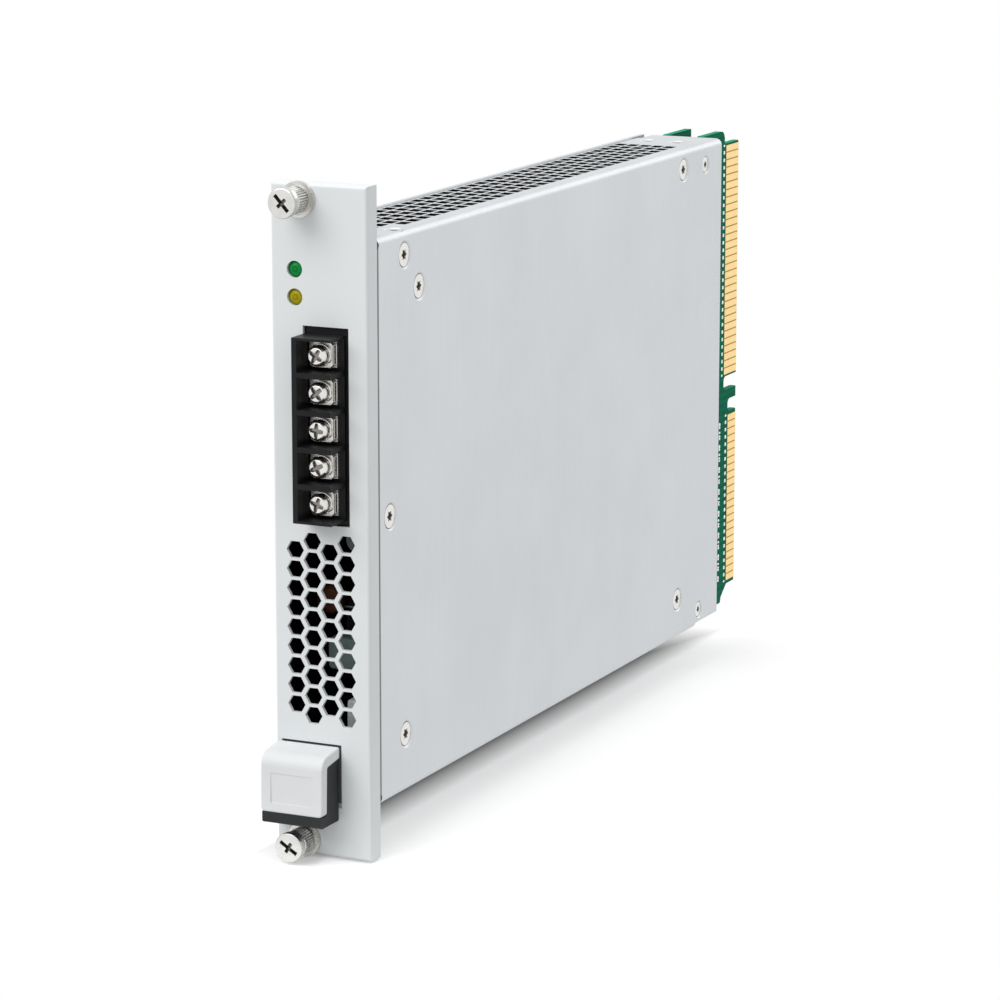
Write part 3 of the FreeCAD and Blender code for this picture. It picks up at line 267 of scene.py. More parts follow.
def surface(name, points, made, body, sharp=35, painted_shade=None):
    """Closed shells from grids of points, indexed [copy, row, column]: each row of columns is a closed
    ring, neighbouring rows are joined by quads, and a row drawn to one point closes an end. The last
    argument, from nought to one at each point, is painted shade: how far the finish darkens the point."""
    copies, rows, columns = points.shape[:3]
    row, column = np.meshgrid(np.arange(rows - 1), np.arange(columns), indexing="ij")
    after = (column + 1) % columns
    quads = np.stack([row * columns + column, row * columns + after,
                      (row + 1) * columns + after, (row + 1) * columns + column], -1).reshape(-1, 4)
    faces = (quads + (np.arange(copies) * rows * columns)[:, None, None]).reshape(-1, 4)
    mesh = bpy.data.meshes.new(name)
    mesh.from_pydata(points.reshape(-1, 3), [], faces.tolist())
    if painted_shade is not None:
        depth = np.broadcast_to(painted_shade, points.shape[:3]).astype(np.float32)
        mesh.attributes.new("painted_shade", "FLOAT", "POINT").data.foreach_set("value", depth.ravel())
    shell = bmesh.new()
    shell.from_mesh(mesh)
    bmesh.ops.remove_doubles(shell, verts=shell.verts, dist=1e-7)
    bmesh.ops.recalc_face_normals(shell, faces=shell.faces)
    shell.to_mesh(mesh)
    shell.free()
    mesh.shade_smooth()
    mesh.set_sharp_from_angle(angle=math.radians(sharp))
    mesh.materials.append(made)
    piece = bpy.data.objects.new(name, mesh)
    bpy.context.scene.collection.objects.link(piece)
    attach(piece, body)
    return piece


def solder_domes(centres, out):
    """Low oval joints on a board face: radius falls as the cosine and height rises as the sine of a
    quarter turn, with a flat base closed at the face, and out is -1 or +1 along X."""
    rise = np.linspace(0, math.pi / 2, 5)
    radius = np.append(0, np.cos(rise)) * PAD_RADIUS
    height = np.append(0, np.sin(rise)) * PAD_RISE
    angle = np.linspace(0, 2 * math.pi, PAD_COLUMNS, endpoint=False)
    ring = np.stack([np.outer(out * height, np.ones(PAD_COLUMNS)),
                     np.outer(PAD_LONG * radius, np.cos(angle)), np.outer(radius, np.sin(angle))], -1)
    return centres[:, None, None, :] + ring


board_low, board_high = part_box("main_board")
contact_groups = solids_of("edge_contacts", (2,), CONTACT_GROUP_GAP)
fingers = solids_of("edge_contacts", (2,), CONTACT_GAP)
finger_z = fingers[:, :, 2].mean(1)
finger_root = fingers[:, 0, 1]
lower_z = finger_z[finger_z < contact_groups[0, 1, 2]]
inner_y = np.full(len(lower_z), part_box("chassis")[1].y + INNER_PAD_BACK)
pad_y = np.concatenate([finger_root - PAD_BACK, inner_y])
every_third = np.arange(len(lower_z)) % 3 == 0
pad_z = np.concatenate([finger_z, lower_z + TRACK_PITCH / 2 * every_third])
second_low, second_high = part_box("aux_board")
rows = np.arange(second_low.z + SECOND_MARGIN, second_high.z - SECOND_MARGIN, SECOND_PITCH)
second_z = np.concatenate([rows, rows + SECOND_PITCH / 2])
second_y = second_high.y - np.repeat(SECOND_PADS, len(rows))
pads = np.concatenate([
    solder_domes(np.stack([np.full(len(y), x), y, z], -1), out)
    for x, y, z, out in ((board_high.x, pad_y, pad_z, 1), (board_low.x, pad_y, pad_z, -1),
                         (second_high.x, second_y, second_z, 1), (second_low.x, second_y, second_z, -1))])
tin = plated("tinned", (0.66, 0.66, 0.64), (0.86, 0.86, 0.84), 0.24)
surface("tinned_holes", pads, tin, "module")
dress(solder_resist(), "main_board", "aux_board")


# Edge contacts
# Copper fingers on both faces of the tongue, plated with nickel and hard gold.
dress(plated("hard_gold", (0.95, 0.68, 0.28), (0.99, 0.73, 0.32), 0.30), "edge_contacts")


# Standoffs, spacers, board screws, header and insulating sheet
# Nickel-plated steel posts stand the boards off the wall, a moulded header joins the boards, and a
# thin black film keeps the boards clear of the wall and of the cover.
def moulded(name, dark, light, rough, grain=5200, depth=0.00001, shine=0.16):
    """Moulded plastic: spark-eroded grain in height, and a faint mottle in colour and roughness."""
    made, tree, shader, place = new_material(name)
    texture = noise(tree, place, grain, 4.0)
    mottle = noise(tree, place, 160)
    plug(tree, shader, Base_Color=ramp(tree, mottle, (0.3, dark), (0.7, light)),
         Roughness=ramp(tree, mottle, (0.3, rough - 0.04), (0.7, rough + 0.06)),
         Normal=relief(tree, texture, depth), Specular_IOR_Level=shine)
    return made


nickel = plated("nickel_plate", (0.77, 0.75, 0.715), (0.82, 0.80, 0.77), 0.22)
black_plastic = moulded("black_plastic", (0.008, 0.008, 0.009), (0.014, 0.014, 0.015), 0.40)
dress(nickel, "standoffs", "board_spacers", "board_screws")
dress(black_plastic, "board_header")
film = moulded("dark_film", (0.003, 0.005, 0.0045), (0.006, 0.008, 0.0075), 0.5, shine=0.03)
dress(film, "insulating_sheet")


# Input choke
# A ferrite ring with two coils of enamelled copper wire, wound side by side on its two halves.
WIRE_RADIUS = 0.0005
COIL_TURNS = 11
COIL_SPREAD = math.radians(128)
COIL_STARTS = (26, 206)
TURN_POINTS = 28
CORE_WALL = 0.0038
WIRE_OFF_CORE = 0.0006


def wire(path, across, radius):
    """Round wire along a path: rings of eight points square to the path's direction, turned to the
    given sideways vectors, drawn to a point at both ends."""
    ahead = np.gradient(path, axis=0)
    ahead /= np.linalg.norm(ahead, axis=1, keepdims=True)
    side = across - (across * ahead).sum(1, keepdims=True) * ahead
    side /= np.linalg.norm(side, axis=1, keepdims=True)
    up = np.cross(ahead, side)
    angle = np.linspace(0, 2 * math.pi, 8, endpoint=False)
    size = np.full(len(path), radius)
    size[[0, -1]] = 0
    ring = side[:, None] * np.cos(angle)[:, None] + up[:, None] * np.sin(angle)[:, None]
    return path[:, None] + size[:, None, None] * ring


def coil(start):
    """Wire wound round a ring of square section: the section's angle runs COIL_TURNS times round while
    the ring's angle runs on by COIL_SPREAD, and the square is the root of cosine and sine."""
    low, high = (np.array(corner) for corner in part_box("choke_core"))
    middle = (low + high) / 2
    outer = (high[1] - low[1]) / 2
    t = np.linspace(0, 1, COIL_TURNS * TURN_POINTS)
    turn = 2 * math.pi * COIL_TURNS * t
    ring = start + COIL_SPREAD * t
    squared = [np.sign(f) * np.sqrt(np.abs(f)) for f in (np.cos(turn), np.sin(turn))]
    along = middle[0] + squared[0] * ((high[0] - low[0]) / 2 + WIRE_OFF_CORE)
    reach = outer - CORE_WALL / 2 + squared[1] * (CORE_WALL / 2 + WIRE_OFF_CORE)
    path = np.stack([along, middle[1] + reach * np.cos(ring), middle[2] + reach * np.sin(ring)], -1)
    across = np.stack([np.zeros_like(t), -np.sin(ring), np.cos(ring)], -1)
    return wire(path, across, WIRE_RADIUS)


enamel = plated("copper_enamel", (0.40, 0.13, 0.045), (0.56, 0.21, 0.08), 0.28)
ferrite = moulded("ferrite", (0.028, 0.028, 0.030), (0.050, 0.050, 0.052), 0.5)
both = np.stack([coil(math.radians(start)) for start in COIL_STARTS])
coils = surface("choke_wire", both, enamel, "module", 180)
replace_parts(coils, "choke_windings")
dress(ferrite, "choke_core")


# Transformer and inductors
# Ground ferrite halves round a flat coil of copper, and moulded inductors on the second board.
COPPER_DARK = (0.26, 0.08, 0.03)
COPPER_LIGHT = (0.56, 0.22, 0.08)
LAYER_SCALE = 900.0
LAYER_HEIGHT = 0.00006


def wound_copper():
    """Layers of enamelled wire: fine ridges across the coil, duller in the grooves between them and painted
    dark there as shade.
    """
    made, tree, shader, place = new_material("wound_copper")
    waves = {"Vector": place, "Scale": LAYER_SCALE, "Distortion": 0.6}
    ridge = node(tree, "TexWave", waves, bands_direction="X").outputs["Fac"]
    plug(tree, shader, Base_Color=ramp(tree, ridge, (0.1, COPPER_DARK), (0.8, COPPER_LIGHT)), Metallic=1.0,
         Roughness=ramp(tree, ridge, (0.0, 0.45), (1.0, 0.28)), Normal=relief(tree, ridge, LAYER_HEIGHT))
    return made


dress(wound_copper(), "transformer_winding")
dress(ferrite, "transformer_core", "output_inductors")


# Capacitors
# Electrolytic cans in dark shrink sleeve, a potted film capacitor, and bare polymer cans.
sleeve = moulded("shrink_sleeve", (0.010, 0.014, 0.030), (0.018, 0.022, 0.042), 0.25, 900, 0.00002)
dress(sleeve, "bulk_capacitors")
dress(moulded("potted_case", (0.52, 0.36, 0.09), (0.64, 0.46, 0.13), 0.42), "film_capacitor")
bare = plated("bare_aluminium", (0.62, 0.63, 0.64), (0.78, 0.79, 0.80), 0.34, 900)
dress(bare, "output_capacitors")


# Fuse, heat sink, switches and control chip
# A glass cartridge in sprung clips, an extruded heat sink, and black epoxy packages.
def fuse_glass():
    """Half-clear glass with a slight green tint, and a faint haze in colour and roughness."""
    made, tree, shader, place = new_material("fuse_glass")
    haze = noise(tree, place, 700)
    plug(tree, shader, Base_Color=ramp(tree, haze, (0.3, (0.72, 0.78, 0.75)), (0.7, (0.82, 0.86, 0.84))),
         Roughness=ramp(tree, haze, (0.3, 0.06), (0.7, 0.14)), Transmission_Weight=0.4)
    return made


dress(fuse_glass(), "fuse_link")
dress(tin, "fuse_clips")
dress(bare, "heat_sink")
dress(black_plastic, "power_switches", "control_chip")


# Input parts behind the vent
# A brown ceramic disc, a pale film block and a white ceramic resistor stand on wire leads on the main
# board, close behind the honeycomb, where the light from the openings falls on them.
DISC_CENTRE = (0.0, 0.0076, -0.0168)
DISC_RADIUS = 0.0029
DISC_HALF = 0.0015
FILM_BLOCK = ((-0.0006, 0.0070, -0.0306), (0.0066, 0.0112, -0.0242))
FILM_EDGE = 0.0006
RESISTOR = ((0.0049, 0.0040, -0.0424), (0.0074, 0.0108, -0.0354))
RESISTOR_EDGE = 0.0005
LEAD_RADIUS = 0.0003
# Painted shade, almost full, that darkens the tinned leads all along their length.
LEAD_SHADE = 0.85
LEADS = ((0.0020, ((0.0082, -0.0154), (0.0082, -0.0182))),
         (0.0060, ((0.0091, -0.0256), (0.0091, -0.0292))),
         (0.0060, ((0.0088, -0.0368), (0.0088, -0.0410))))


def block(low, high, edge):
    """Box with rounded edges: its section is a circle raised to a square by the fourth root of cosine and
    sine, and it draws in at both ends by a quarter turn of the edge's radius."""
    low, high = np.array(low), np.array(high)
    middle, half = (low + high) / 2, (high - low) / 2
    turn = np.linspace(0, math.pi / 2, 6)
    inset = np.concatenate([[1], edge * (1 - np.sin(turn)), edge * (1 - np.cos(turn)), [1]])
    along = np.concatenate([[-half[1]], -half[1] + edge * (1 - np.cos(turn)),
                            half[1] - edge * (1 - np.sin(turn)), [half[1]]])
    angle = np.linspace(0, 2 * math.pi, 48, endpoint=False)
    wave = [np.sign(f) * np.abs(f) ** 0.25 for f in (np.cos(angle), np.sin(angle))]
    reach = [np.clip(h - inset, 0, None)[:, None] * w for h, w in zip(half[[0, 2]], wave)]
    rows = np.broadcast_to(along[:, None], reach[0].shape)
    return (middle + np.stack([reach[0], rows, reach[1]], -1))[None]


def disc(centre, radius, half_thick):
    """Coated disc about an axis along Y: an oval turned round, radius by the cosine's root and depth by the
    sine of half a turn."""
    x, y, z = centre
    turn = np.linspace(-math.pi / 2, math.pi / 2, 17)
    angle = np.linspace(0, 2 * math.pi, 40, endpoint=False)
    reach = radius * np.sqrt(np.clip(np.cos(turn), 0, None))[:, None]
    depth = half_thick * np.sin(turn)[:, None] * np.ones_like(angle)
    return np.stack([x + reach * np.cos(angle), y + depth, z + reach * np.sin(angle)], -1)[None]


def leads(start_x, places):
    """Straight round leads from a part to the main board's face, at places of (y, z)."""
    x = np.array([start_x, start_x, board_low.x, board_low.x])[:, None]
    size = np.array([0, 1, 1, 0])[:, None] * LEAD_RADIUS
    angle = np.linspace(0, 2 * math.pi, 10, endpoint=False)
    y, z = np.array(places).T[:, :, None, None]
    ring = [y + size * np.cos(angle), z + size * np.sin(angle)]
    return np.stack([np.broadcast_to(x, ring[0].shape), *ring], -1)


brown_coating = moulded("brown_coating", (0.026, 0.008, 0.003), (0.085, 0.028, 0.010), 0.4, 1300, 0.0001)
pale_case = moulded("pale_case", (0.11, 0.18, 0.155), (0.26, 0.34, 0.31), 0.4)
white_ceramic = moulded("white_ceramic", (0.82, 0.84, 0.83), (0.90, 0.92, 0.91), 0.5)
surface("input_disc", disc(DISC_CENTRE, DISC_RADIUS, DISC_HALF), brown_coating, "module", 180)
surface("input_film_block", block(*FILM_BLOCK, FILM_EDGE), pale_case, "module", 50)
surface("input_resistor", block(*RESISTOR, RESISTOR_EDGE), white_ceramic, "module", 50)
surface("input_leads", np.concatenate([leads(*lead) for lead in LEADS]), tin, "module",
        painted_shade=np.array(LEAD_SHADE))


# Front panel
# A thick aluminium plate with a softly rounded front, punched and milled, in pale grey satin paint.
PAINT_DARK = (0.765, 0.795, 0.805)
PAINT_LIGHT = (0.795, 0.822, 0.832)
# Painted shade: near black on the walls of the openings behind the skin, and grey in the handle's pocket.
OPENING_SHADE = (0.005, 0.007, 0.0065)
POCKET_SHADE = (0.16, 0.168, 0.172)
SKIN = 0.00075
RIM = 0.0006
POCKET_MARGIN = 0.001


def panel_paint():
    """Stoved satin paint: low orange peel in height, with a very faint cloud in colour. Behind the thin
    front skin the walls of the openings are painted near black as shade, and the handle's pocket is painted
    grey as shade, told apart by their place."""
    low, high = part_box("front_panel")
    under, over = (corner.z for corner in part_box("chassis"))
    made, tree, shader, place = new_material("panel_paint")
    peel = noise(tree, place, 1500, 2.0)
    clouds = noise(tree, place, 60)
    paint = ramp(tree, clouds, (0.3, PAINT_DARK), (0.7, PAINT_LIGHT))
    at = node(tree, "SeparateXYZ", {"Vector": place}).outputs
    inside = maths(tree, "GREATER_THAN", at["Y"], low.y + SKIN)
    for axis, start, end in (("X", low.x, high.x), ("Z", under, over)):
        inside = maths(tree, "MULTIPLY", inside, between(tree, at[axis], start + RIM, end - RIM))
    above = maths(tree, "GREATER_THAN", at["Z"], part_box("handle_cap")[1].z + POCKET_MARGIN)
    # Painted shade colour: grey below the top of the handle cap, where the pocket is, and near black above
    # it.
    bare = mix(tree, above, (*POCKET_SHADE, 1), (*OPENING_SHADE, 1))
    plug(tree, shader, Base_Color=mix(tree, inside, paint, bare),
         Roughness=ramp(tree, peel, (0.3, 0.40), (0.7, 0.48)),
         Normal=relief(tree, peel, 0.000012), Specular_IOR_Level=0.3)
    return made


dress(panel_paint(), "front_panel")


# Indicator lamps
# Tinted clear lenses pushed through the panel, in a black holder that stands on the main board.
LENS_REACH = 0.002


def lamp_lens(name, deep, bright):
    """Tinted lens in rings about its middle: pale at the middle, a deep ring for the dark die, a pale ring
    painted as the reflection of the reflector round it, and deep towards the rim.
    """
    low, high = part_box(name)
    made, tree, shader, place = new_material(name + "_tint")
    centre = (-(low.x + high.x) / 2, 0, -(low.z + high.z) / 2)
    flat = node(tree, "Mapping", {"Vector": place, "Location": centre, "Scale": (1, 0, 1)}).outputs[0]
    reach = node(tree, "VectorMath", {0: flat}, operation="LENGTH").outputs["Value"]
    share = maths(tree, "DIVIDE", reach, LENS_REACH)
    cloud = noise(tree, place, 1800)
    # Painted reflection of the reflector: the pale ring in these stops.
    rings = ramp(tree, share, (0.0, bright), (0.22, deep), (0.42, bright), (0.78, deep))
    plug(tree, shader, Base_Color=mix(tree, cloud, rings, (*deep, 1)),
         Roughness=ramp(tree, cloud, (0.3, 0.10), (0.7, 0.18)), Specular_IOR_Level=0.12)
    return made


dress(lamp_lens("green_lamp", (0.0, 0.14, 0.02), (0.0, 0.44, 0.09)), "green_lamp")
dress(lamp_lens("yellow_lamp", (0.24, 0.20, 0.0), (0.62, 0.54, 0.006)), "yellow_lamp")
dress(black_plastic, "lamp_holder")


# Terminal block
# A black moulding with five pockets. In each a plated screw with a spring washer draws a square
# clamp plate onto the contact plate on the pocket's floor.
SCREW_COLUMNS = 192
CROSS_TURNS = (20, 65, 5, 50, 32)
CROSS = (0.00145, 0.0005, 0.0008)
CROSS_FRONT = 0.0001
NECK_DEPTHS = (0.0018, 0.00195)
NECK_RADIUS = 0.0019
WASHER_DEPTHS = (0.0019, 0.00241)
WASHER_RADIUS = 0.0017
SPLIT_ANGLE = 5.4
SPLIT_HALF = 0.1
SPLIT_CUT = 0.0004


def profile(*corners):
    """Rows of (radius, depth) in metres along straight runs: each corner is (radius, depth, rows), in
    millimetres, with the rows that lead up to it."""
    rows = [np.array([corners[0][:2]], float)]
    for start, end in zip(corners, corners[1:]):
        rows.append(np.linspace(start[:2], end[:2], end[2] + 1)[1:])
    return np.concatenate(rows).T * 0.001


def cross_recess(radius, angle, reach, half_width, depth):
    """Depth of a cross recess at polar places: two grooves that narrow towards their ends, with sloped
    sides, and a deeper cone where they meet."""
    across = np.minimum(np.abs(radius * np.cos(angle)), np.abs(radius * np.sin(angle)))
    groove = np.clip((half_width * (1.1 - 0.45 * radius / reach) - across) / (0.35 * half_width), 0, 1)
    ends = np.clip((reach - radius) / (0.16 * reach), 0, 1)
    cone = np.clip(1 - radius / (2.2 * half_width), 0, 1)
    return depth * (0.8 * groove * ends + 0.2 * cone * groove)


def turned(radius, depth, angle, place):
    """Ring of points at each row: radius and depth by row and column, about an axis along +Y."""
    x, y, z = place
    return np.stack([x + radius * np.cos(angle), y + depth, z + radius * np.sin(angle)], -1)[None]


def within(value, limits):
    """Where a value lies between two limits."""
    return (value > limits[0]) & (value < limits[1])


def terminal_screw(number, turn):
    """Lathe profile of a pan head, a spring washer and a shank, with two reliefs: a cross recess sunk in
    the head's front, and the washer's split, a notch that falls off evenly to both sides of its angle."""
    name = "terminal_screw_" + str(number)
    low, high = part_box(name)
    place = ((low.x + high.x) / 2, low.y, (low.z + high.z) / 2)
    tip = (high.y - low.y) * 1000
    radius, depth = profile((0, 0, 0), (1.45, 0.08, 38), (1.65, 0.2, 4), (1.87, 0.45, 4), (1.98, 0.8, 4),
                            (2.0, 1.1, 2), (2.0, 1.7, 2), (1.85, 1.82, 1), (1.7, 1.82, 1), (1.7, 1.92, 1),
                            (2.1, 1.92, 2), (2.2, 1.98, 1), (2.2, 2.32, 1), (2.1, 2.4, 1), (1.5, 2.4, 2),
                            (1.5, tip, 2), (0, tip, 1))
    angle = np.linspace(0, 2 * math.pi, SCREW_COLUMNS, endpoint=False)
    radius, depth, angle = radius[:, None], depth[:, None], angle[None, :]
    split = np.clip(1 - np.abs(angle - SPLIT_ANGLE) / SPLIT_HALF, 0, 1)
    washer = within(depth, WASHER_DEPTHS) & (radius > WASHER_RADIUS)
    cross = (depth < CROSS_FRONT) * cross_recess(radius, angle + math.radians(turn), *CROSS)
    points = turned(radius - washer * split * SPLIT_CUT, depth + cross, angle, place)
    neck = within(depth, NECK_DEPTHS) & (radius < NECK_RADIUS)
    # Painted shade in the cross recess, under the head at the neck and in the washer's split.
    shade = np.clip(np.clip(cross / 0.0006, 0, 0.7) + 0.9 * neck + 0.6 * washer * split, 0, 1)
    piece = surface("fitted_" + name, points, nickel, "clamp_screw_" + str(number), painted_shade=shade)
    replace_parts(piece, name)


for number, turn in enumerate(CROSS_TURNS, 1):
    terminal_screw(number, turn)
    dress(nickel, "terminal_clamp_" + str(number))
dress(black_plastic, "terminal_housing")
dress(tin, "terminal_contacts")


# Captive screws
# Turned and nickel-plated, with a cross recess, a straight knurl to turn them by hand and a fine
# thread for the rack's rail. A nylon ring in a flanged bush keeps each one in the panel.
KNURL_TEETH = 32
KNURL_DEPTH = 0.00016
THREAD_PITCH = 0.00045
THREAD_DEPTH = 0.00022
LONG_SLOT = (0.0020, 0.00036, 0.0010)
SHORT_SLOT = (0.0011, 0.00034, 0.0009)
SLOT_FRONT = 0.00001
HEAD_EDGE_DEPTHS = (0.00005, 0.00035)
HEAD_EDGE_RADIUS = 0.0025
GROOVE_DEPTHS = (0.0015, 0.00225)
GROOVE_RADIUS = 0.00215
GRIP_FRONT = 0.0024
GRIP_TO_BACK = 0.0049
TIP_RADIUS = 0.0007


def slot_recess(radius, angle, reach, half_width, depth):
    """Depth of a straight slot at polar places: full within its width and length, with sloped walls."""
    along, across = np.abs(radius * np.cos(angle)), np.abs(radius * np.sin(angle))
    sides = np.clip((half_width - across) / (0.3 * half_width), 0, 1)
    return depth * sides * np.clip((reach - along) / (0.3 * half_width), 0, 1)


def captive_screw(end, turn):
    """Lathe profile with three reliefs: a recess sunk in the head, a long slot crossed by a short one, a
    knurl that is a triangle wave of the angle, and a thread that is a triangle wave of the depth plus the
    angle's share of a turn."""
    name = end + "_thumbscrew"
    low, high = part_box(name)
    place = ((low.x + high.x) / 2, low.y, (low.z + high.z) / 2)
    head = (high.x - low.x) * 500
    back = -low.y * 1000
    tip = (high.y - low.y) * 1000
    seat = back - GRIP_TO_BACK * 1000
    radius, depth = profile((0, 0, 0), (1.75, 0, 40), (head - 0.3, 0, 3), (head - 0.1, 0.08, 2),
                            (head, 0.28, 2), (head, 1.4, 2), (head - 0.15, 1.55, 2), (2.1, 1.65, 1),
                            (2.1, 2.2, 1), (2.45, 2.3, 1), (2.6, 2.5, 2), (2.6, seat - 0.35, 16),
                            (2.4, seat - 0.15, 2), (2.35, seat, 1), (1.05, seat, 2), (1.05, back - 1.05, 1),
                            (0.85, back - 1.05, 1), (0.85, back - 0.15, 1), (1.05, back - 0.15, 1),
                            (1.05, back, 1), (1.25, back + 0.1, 1), (1.25, tip - 0.5, 130), (0.8, tip, 6),
                            (0, tip, 1))
    angle = np.linspace(0, 2 * math.pi, SCREW_COLUMNS, endpoint=False)
    radius, depth, angle = radius[:, None], depth[:, None], angle[None, :]
    grip = within(depth, (GRIP_FRONT, (seat - 0.3) * 0.001))
    threaded = (depth > (back + 0.15) * 0.001) & (radius > TIP_RADIUS)
    wave = np.abs((KNURL_TEETH * angle / (2 * math.pi)) % 1 - 0.5) * 2
    helix = np.abs((depth / THREAD_PITCH + angle / (2 * math.pi)) % 1 - 0.5) * 2
    cut = radius - grip * wave * KNURL_DEPTH - threaded * helix * THREAD_DEPTH
    slots = np.maximum(slot_recess(radius, angle + math.radians(turn), *LONG_SLOT),
                       slot_recess(radius, angle + math.radians(turn + 90), *SHORT_SLOT))
    cross = (depth < SLOT_FRONT) * slots
    edge = within(depth, HEAD_EDGE_DEPTHS) & (radius > HEAD_EDGE_RADIUS)
    groove = within(depth, GROOVE_DEPTHS) & (radius < GROOVE_RADIUS)
    # Painted shade in the slots, in the knurl's grooves, along the thread, in the groove behind the head
    # and at the head's edge.
    shade = np.clip(cross / 0.0007, 0, 0.8) + grip * (0.06 + 0.48 * wave) + 0.4 * threaded * helix
    shade = shade + 0.8 * groove + 0.3 * edge
    piece = surface("fitted_" + name, turned(cut, depth + cross, angle, place), screw_nickel_painted_shade,
                    end + "_captive_screw", painted_shade=shade)
    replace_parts(piece, name)


# Darker copies of the nickel plating, as painted shade: one for the captive screws and a darker one for
# their bushes.
screw_nickel_painted_shade = plated("screw_nickel_painted_shade", (0.67, 0.665, 0.645), (0.75, 0.745, 0.725), 0.22)
nylon = moulded("nylon", (0.70, 0.69, 0.64), (0.78, 0.77, 0.72), 0.4)
bush_nickel_painted_shade = plated("bush_nickel_painted_shade", (0.60, 0.59, 0.565), (0.68, 0.67, 0.645), 0.26)
for end, turn in (("top", 48), ("bottom", 32)):
    captive_screw(end, turn)
    dress(bush_nickel_painted_shade, end + "_screw_bush")
    dress(nylon, end + "_retaining_ring")


# Extraction handle
# A pale cap moulded over a black body, whose stem slides in a channel behind the panel.
dress(moulded("cap_plastic", (0.74, 0.755, 0.765), (0.77, 0.785, 0.795), 0.42), "handle_cap")
dress(moulded("body_plastic", (0.022, 0.023, 0.025), (0.034, 0.035, 0.037), 0.45), "handle_body")
dress(black_plastic, "handle_guide")


# Countersunk screws
# Flush six-lobed screws hold the walls to the panel, the brackets, the standoffs and the cover.
LOBE_ROUND = 0.37
LOBE_SWING = 0.07
LOBE_COLUMNS = 96
# Painted shade in each head: the socket's rows, a dark ring at the rim as a painted shadow gap, and the
# cone and shank.
SOCKET_SHARES = (0, 0.85, 0.97, 1.05)
HEAD_SHARES = (2.44, 2.47, 2.64, 2.7)
HEAD_DEPTHS = (0.00062, 0.0005, 0.00006, 0, 0, 0.00001, 0.00006, 0.00012)
SOCKET_SHADES = (0.8, 0.8, 0.75)
HEAD_SHADES = (0, 0.75, 0.85, 0.9)
SHANK_SHADE = 0.9
SHANK_SHARE = 0.55
CONE_DEPTH = 0.0008
SCREW_GAP = 0.0006
FLAT_LIP = 0.6


def countersunk(name, inward, across, lip=0.0):
    """Flush heads: the recess is a ring whose radius swings six times round by a cosine, the head runs on
    flat to a rounded rim, then as a cone and a shank, for every solid of a node. The socket, a ring at the
    rim, the cone and the shank carry painted shade; lip is how dark the recess's edge is painted, which is
    all that a flat view shows of it."""
    boxes = solids_of(name, across, SCREW_GAP)
    axis = 3 - sum(across)
    head = np.ptp(boxes[0, :, across[0]]) / 2
    length = np.ptp(boxes[0, :, axis])
    angle = np.linspace(0, 2 * math.pi, LOBE_COLUMNS, endpoint=False)
    socket = np.outer(SOCKET_SHARES, LOBE_ROUND + LOBE_SWING * np.cos(6 * angle))
    around = np.array([*(LOBE_ROUND * np.array(HEAD_SHARES)), SHANK_SHARE, SHANK_SHARE, 0])
    radius = head * np.concatenate([socket, np.outer(around, np.ones(LOBE_COLUMNS))])
    depth = np.array([*HEAD_DEPTHS, CONE_DEPTH, length, length])[:, None]
    shade = np.array([*SOCKET_SHADES, lip, *HEAD_SHADES, SHANK_SHADE, SHANK_SHADE, SHANK_SHADE])[:, None]
    local = np.zeros((len(boxes), len(radius), LOBE_COLUMNS, 3))
    outer = boxes[:, 0 if inward > 0 else 1, axis]
    local[..., axis] = outer[:, None, None] + inward * depth
    for way, wave in zip(across, (np.cos(angle), np.sin(angle))):
        local[..., way] = boxes[:, :, way].mean(1)[:, None, None] + radius * wave
    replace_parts(surface("fitted_" + name, local, nickel, "module", painted_shade=shade), name)


countersunk("wall_screws", -1, (1, 2))
countersunk("rear_wall_screws", -1, (1, 2))
countersunk("cover_screws", 1, (1, 2))
countersunk("top_screws", -1, (0, 1), FLAT_LIP)
countersunk("bottom_screws", 1, (0, 1), FLAT_LIP)


# Floor, light and camera
# A white studio table under a broad soft light from the left, with fill from above and behind, seen
# from the photograph's angle.
FLOOR_HALF = 6.0
FLOOR_FAR = 0.024
FLOOR_LIFT = 0.36
# Painted shadow under the part: its grey, the line along which it lies, and the width over which it fades
# out.
PAINTED_SHADOW_GREY = (0.20, 0.20, 0.20)
PAINTED_SHADOW_X = -0.0030
PAINTED_SHADOW_WIDTH = 0.0080
TABLE_BOUNCE = 0.55
WORLD_LIGHT = 0.67


def seen_ray(tree):
    """One for rays from the camera, from gloss and through glass, nought for light that is gathered."""
    path = node(tree, "LightPath").outputs
    seen = maths(tree, "MAXIMUM", path["Is Camera Ray"], path["Is Glossy Ray"])
    return maths(tree, "MAXIMUM", seen, path["Is Transmission Ray"])


def white_level(tree, gathered):
    """Strength of a plain white: full where it is seen, and less in the light that is gathered."""
    return node(tree, "MapRange", {"Value": seen_ray(tree), "To Min": gathered, "To Max": 1.0}).outputs[0]


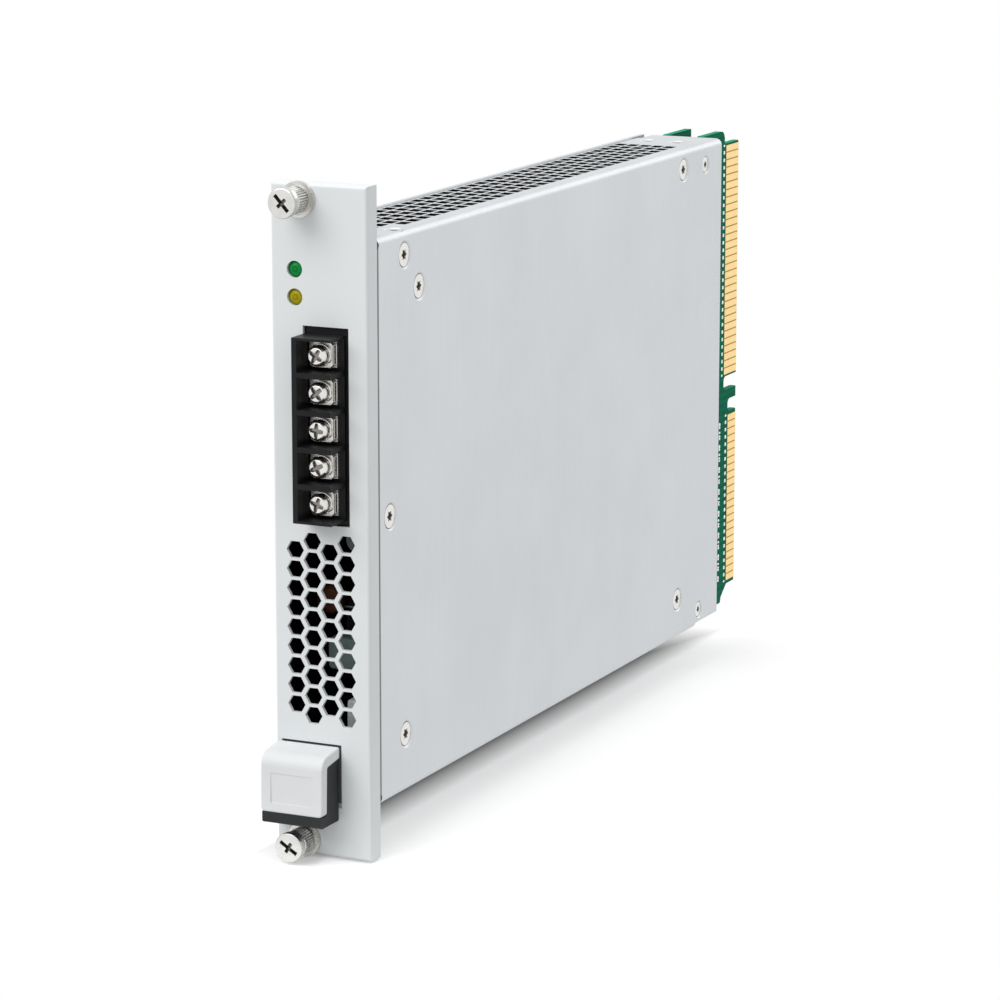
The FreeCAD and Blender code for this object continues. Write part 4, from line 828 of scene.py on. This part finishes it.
def table_white():
    """Matt white that keeps the shadow round the part's footprint and goes over to plain white further off,
    by the distance from the footprint's rectangle. Under the part a painted shadow lies grey along one
    line, with less of the slight glow, and fades to white, with the glow, to both sides of the line and to
    its ends. Its underside is clear, for a look from below."""
    made, tree, shader, place = new_material("table_white")
    tree.nodes.remove(shader)
    plain = node(tree, "Emission", {"Strength": white_level(tree, TABLE_BOUNCE)}).outputs[0]
    low, high = cad_box
    centre = ((low[0] + high[0]) / 2, (low[1] + high[1]) / 2, low[2])
    half = ((high[0] - low[0]) / 2, (high[1] - low[1]) / 2, 0)
    beside = node(tree, "VectorMath", {0: place, 1: centre}, operation="SUBTRACT").outputs[0]
    beside = node(tree, "VectorMath", {0: beside}, operation="ABSOLUTE").outputs[0]
    beside = node(tree, "VectorMath", {0: beside, 1: half}, operation="SUBTRACT").outputs[0]
    beside = node(tree, "VectorMath", {0: beside, 1: (0, 0, 0)}, operation="MAXIMUM").outputs[0]
    reach = node(tree, "VectorMath", {0: beside}, operation="LENGTH").outputs["Value"]
    far = node(tree, "MapRange", {"Value": reach, "From Max": FLOOR_FAR},
               interpolation_type="SMOOTHSTEP").outputs[0]
    at = node(tree, "SeparateXYZ", {"Vector": place}).outputs
    # Painted shadow: grey along a line under the part, fading out to both sides and towards both ends.
    aside = maths(tree, "ABSOLUTE", maths(tree, "SUBTRACT", at["X"], PAINTED_SHADOW_X))
    painted_shadow_fade = node(tree, "MapRange", {"Value": aside, "From Max": PAINTED_SHADOW_WIDTH}).outputs[0]
    for start, end in ((-2 * low[1], low[1]), (high[1] + 2 * low[1], high[1] - low[1])):
        clear_of = node(tree, "MapRange", {"Value": at["Y"], "From Min": start, "From Max": end}).outputs[0]
        painted_shadow_fade = maths(tree, "MAXIMUM", painted_shadow_fade, clear_of)
    paper = ramp(tree, noise(tree, place, 30), (0.3, 0.80), (0.7, 0.82))
    paper = node(tree, "BsdfDiffuse", {"Color": mix(tree, painted_shadow_fade, (*PAINTED_SHADOW_GREY, 1), paper)}).outputs[0]
    glow = maths(tree, "MULTIPLY", maths(tree, "MULTIPLY", painted_shadow_fade, FLOOR_LIFT), seen_ray(tree))
    lift = node(tree, "Emission", {"Strength": glow}).outputs[0]
    near = node(tree, "AddShader", {0: paper, 1: lift}).outputs[0]
    white = node(tree, "MixShader", {0: far, 1: near, 2: plain}).outputs[0]
    clear = node(tree, "BsdfTransparent").outputs[0]
    below = node(tree, "NewGeometry").outputs["Backfacing"]
    out = tree.nodes["Material Output"].inputs["Surface"]
    tree.links.new(node(tree, "MixShader", {0: below, 1: white, 2: clear}).outputs[0], out)
    return made


floor_z = cad_box[0][2]
table = bpy.data.meshes.new("table")
span = np.array([(-1, -1), (1, -1), (1, 1), (-1, 1)]) * FLOOR_HALF
table.from_pydata(np.column_stack([span, np.full(4, floor_z)]), [], [(0, 1, 2, 3)])
table.materials.append(table_white())
floor = bpy.data.objects.new("table", table)
bpy.context.scene.collection.objects.link(floor)


def soft_lamp(name, place, size, power):
    """Square lamp that faces the middle of the part."""
    aim = [(a + b) / 2 for a, b in zip(*cad_box)]
    light = bpy.data.lights.new(name, "AREA")
    light.size = size
    light.energy = power
    lamp = bpy.data.objects.new(name, light)
    bpy.context.scene.collection.objects.link(lamp)
    lamp.location = place
    lamp.rotation_euler = (Vector(aim) - lamp.location).to_track_quat("-Z", "Y").to_euler()


soft_lamp("key_lamp", (-0.5, -0.95, 1.05), size=1.1, power=11.5)
soft_lamp("top_lamp", (0.1, 0.0, 1.3), size=1.2, power=3.5)
soft_lamp("rim_lamp", (0.5, 1.1, 0.55), size=0.8, power=1.7)

world = bpy.data.worlds.new("studio")
world.use_nodes = True
sky = world.node_tree
glow = sky.nodes["Background"]
sky.links.new(white_level(sky, WORLD_LIGHT), glow.inputs["Strength"])
glow.inputs["Color"].default_value = (1, 1, 1, 1)
bpy.context.scene.world = world

camera = bpy.data.cameras.new("camera")
camera.sensor_width = 36.0
camera.lens = 146.2
viewer = bpy.data.objects.new("camera", camera)
bpy.context.scene.collection.objects.link(viewer)
viewer.location = (0.3473, -0.6621, 0.1612)
viewer.rotation_euler = (math.radians(78.10), 0, math.radians(24.97))
bpy.context.scene.camera = viewer
bpy.context.scene.view_settings.view_transform = "Standard"
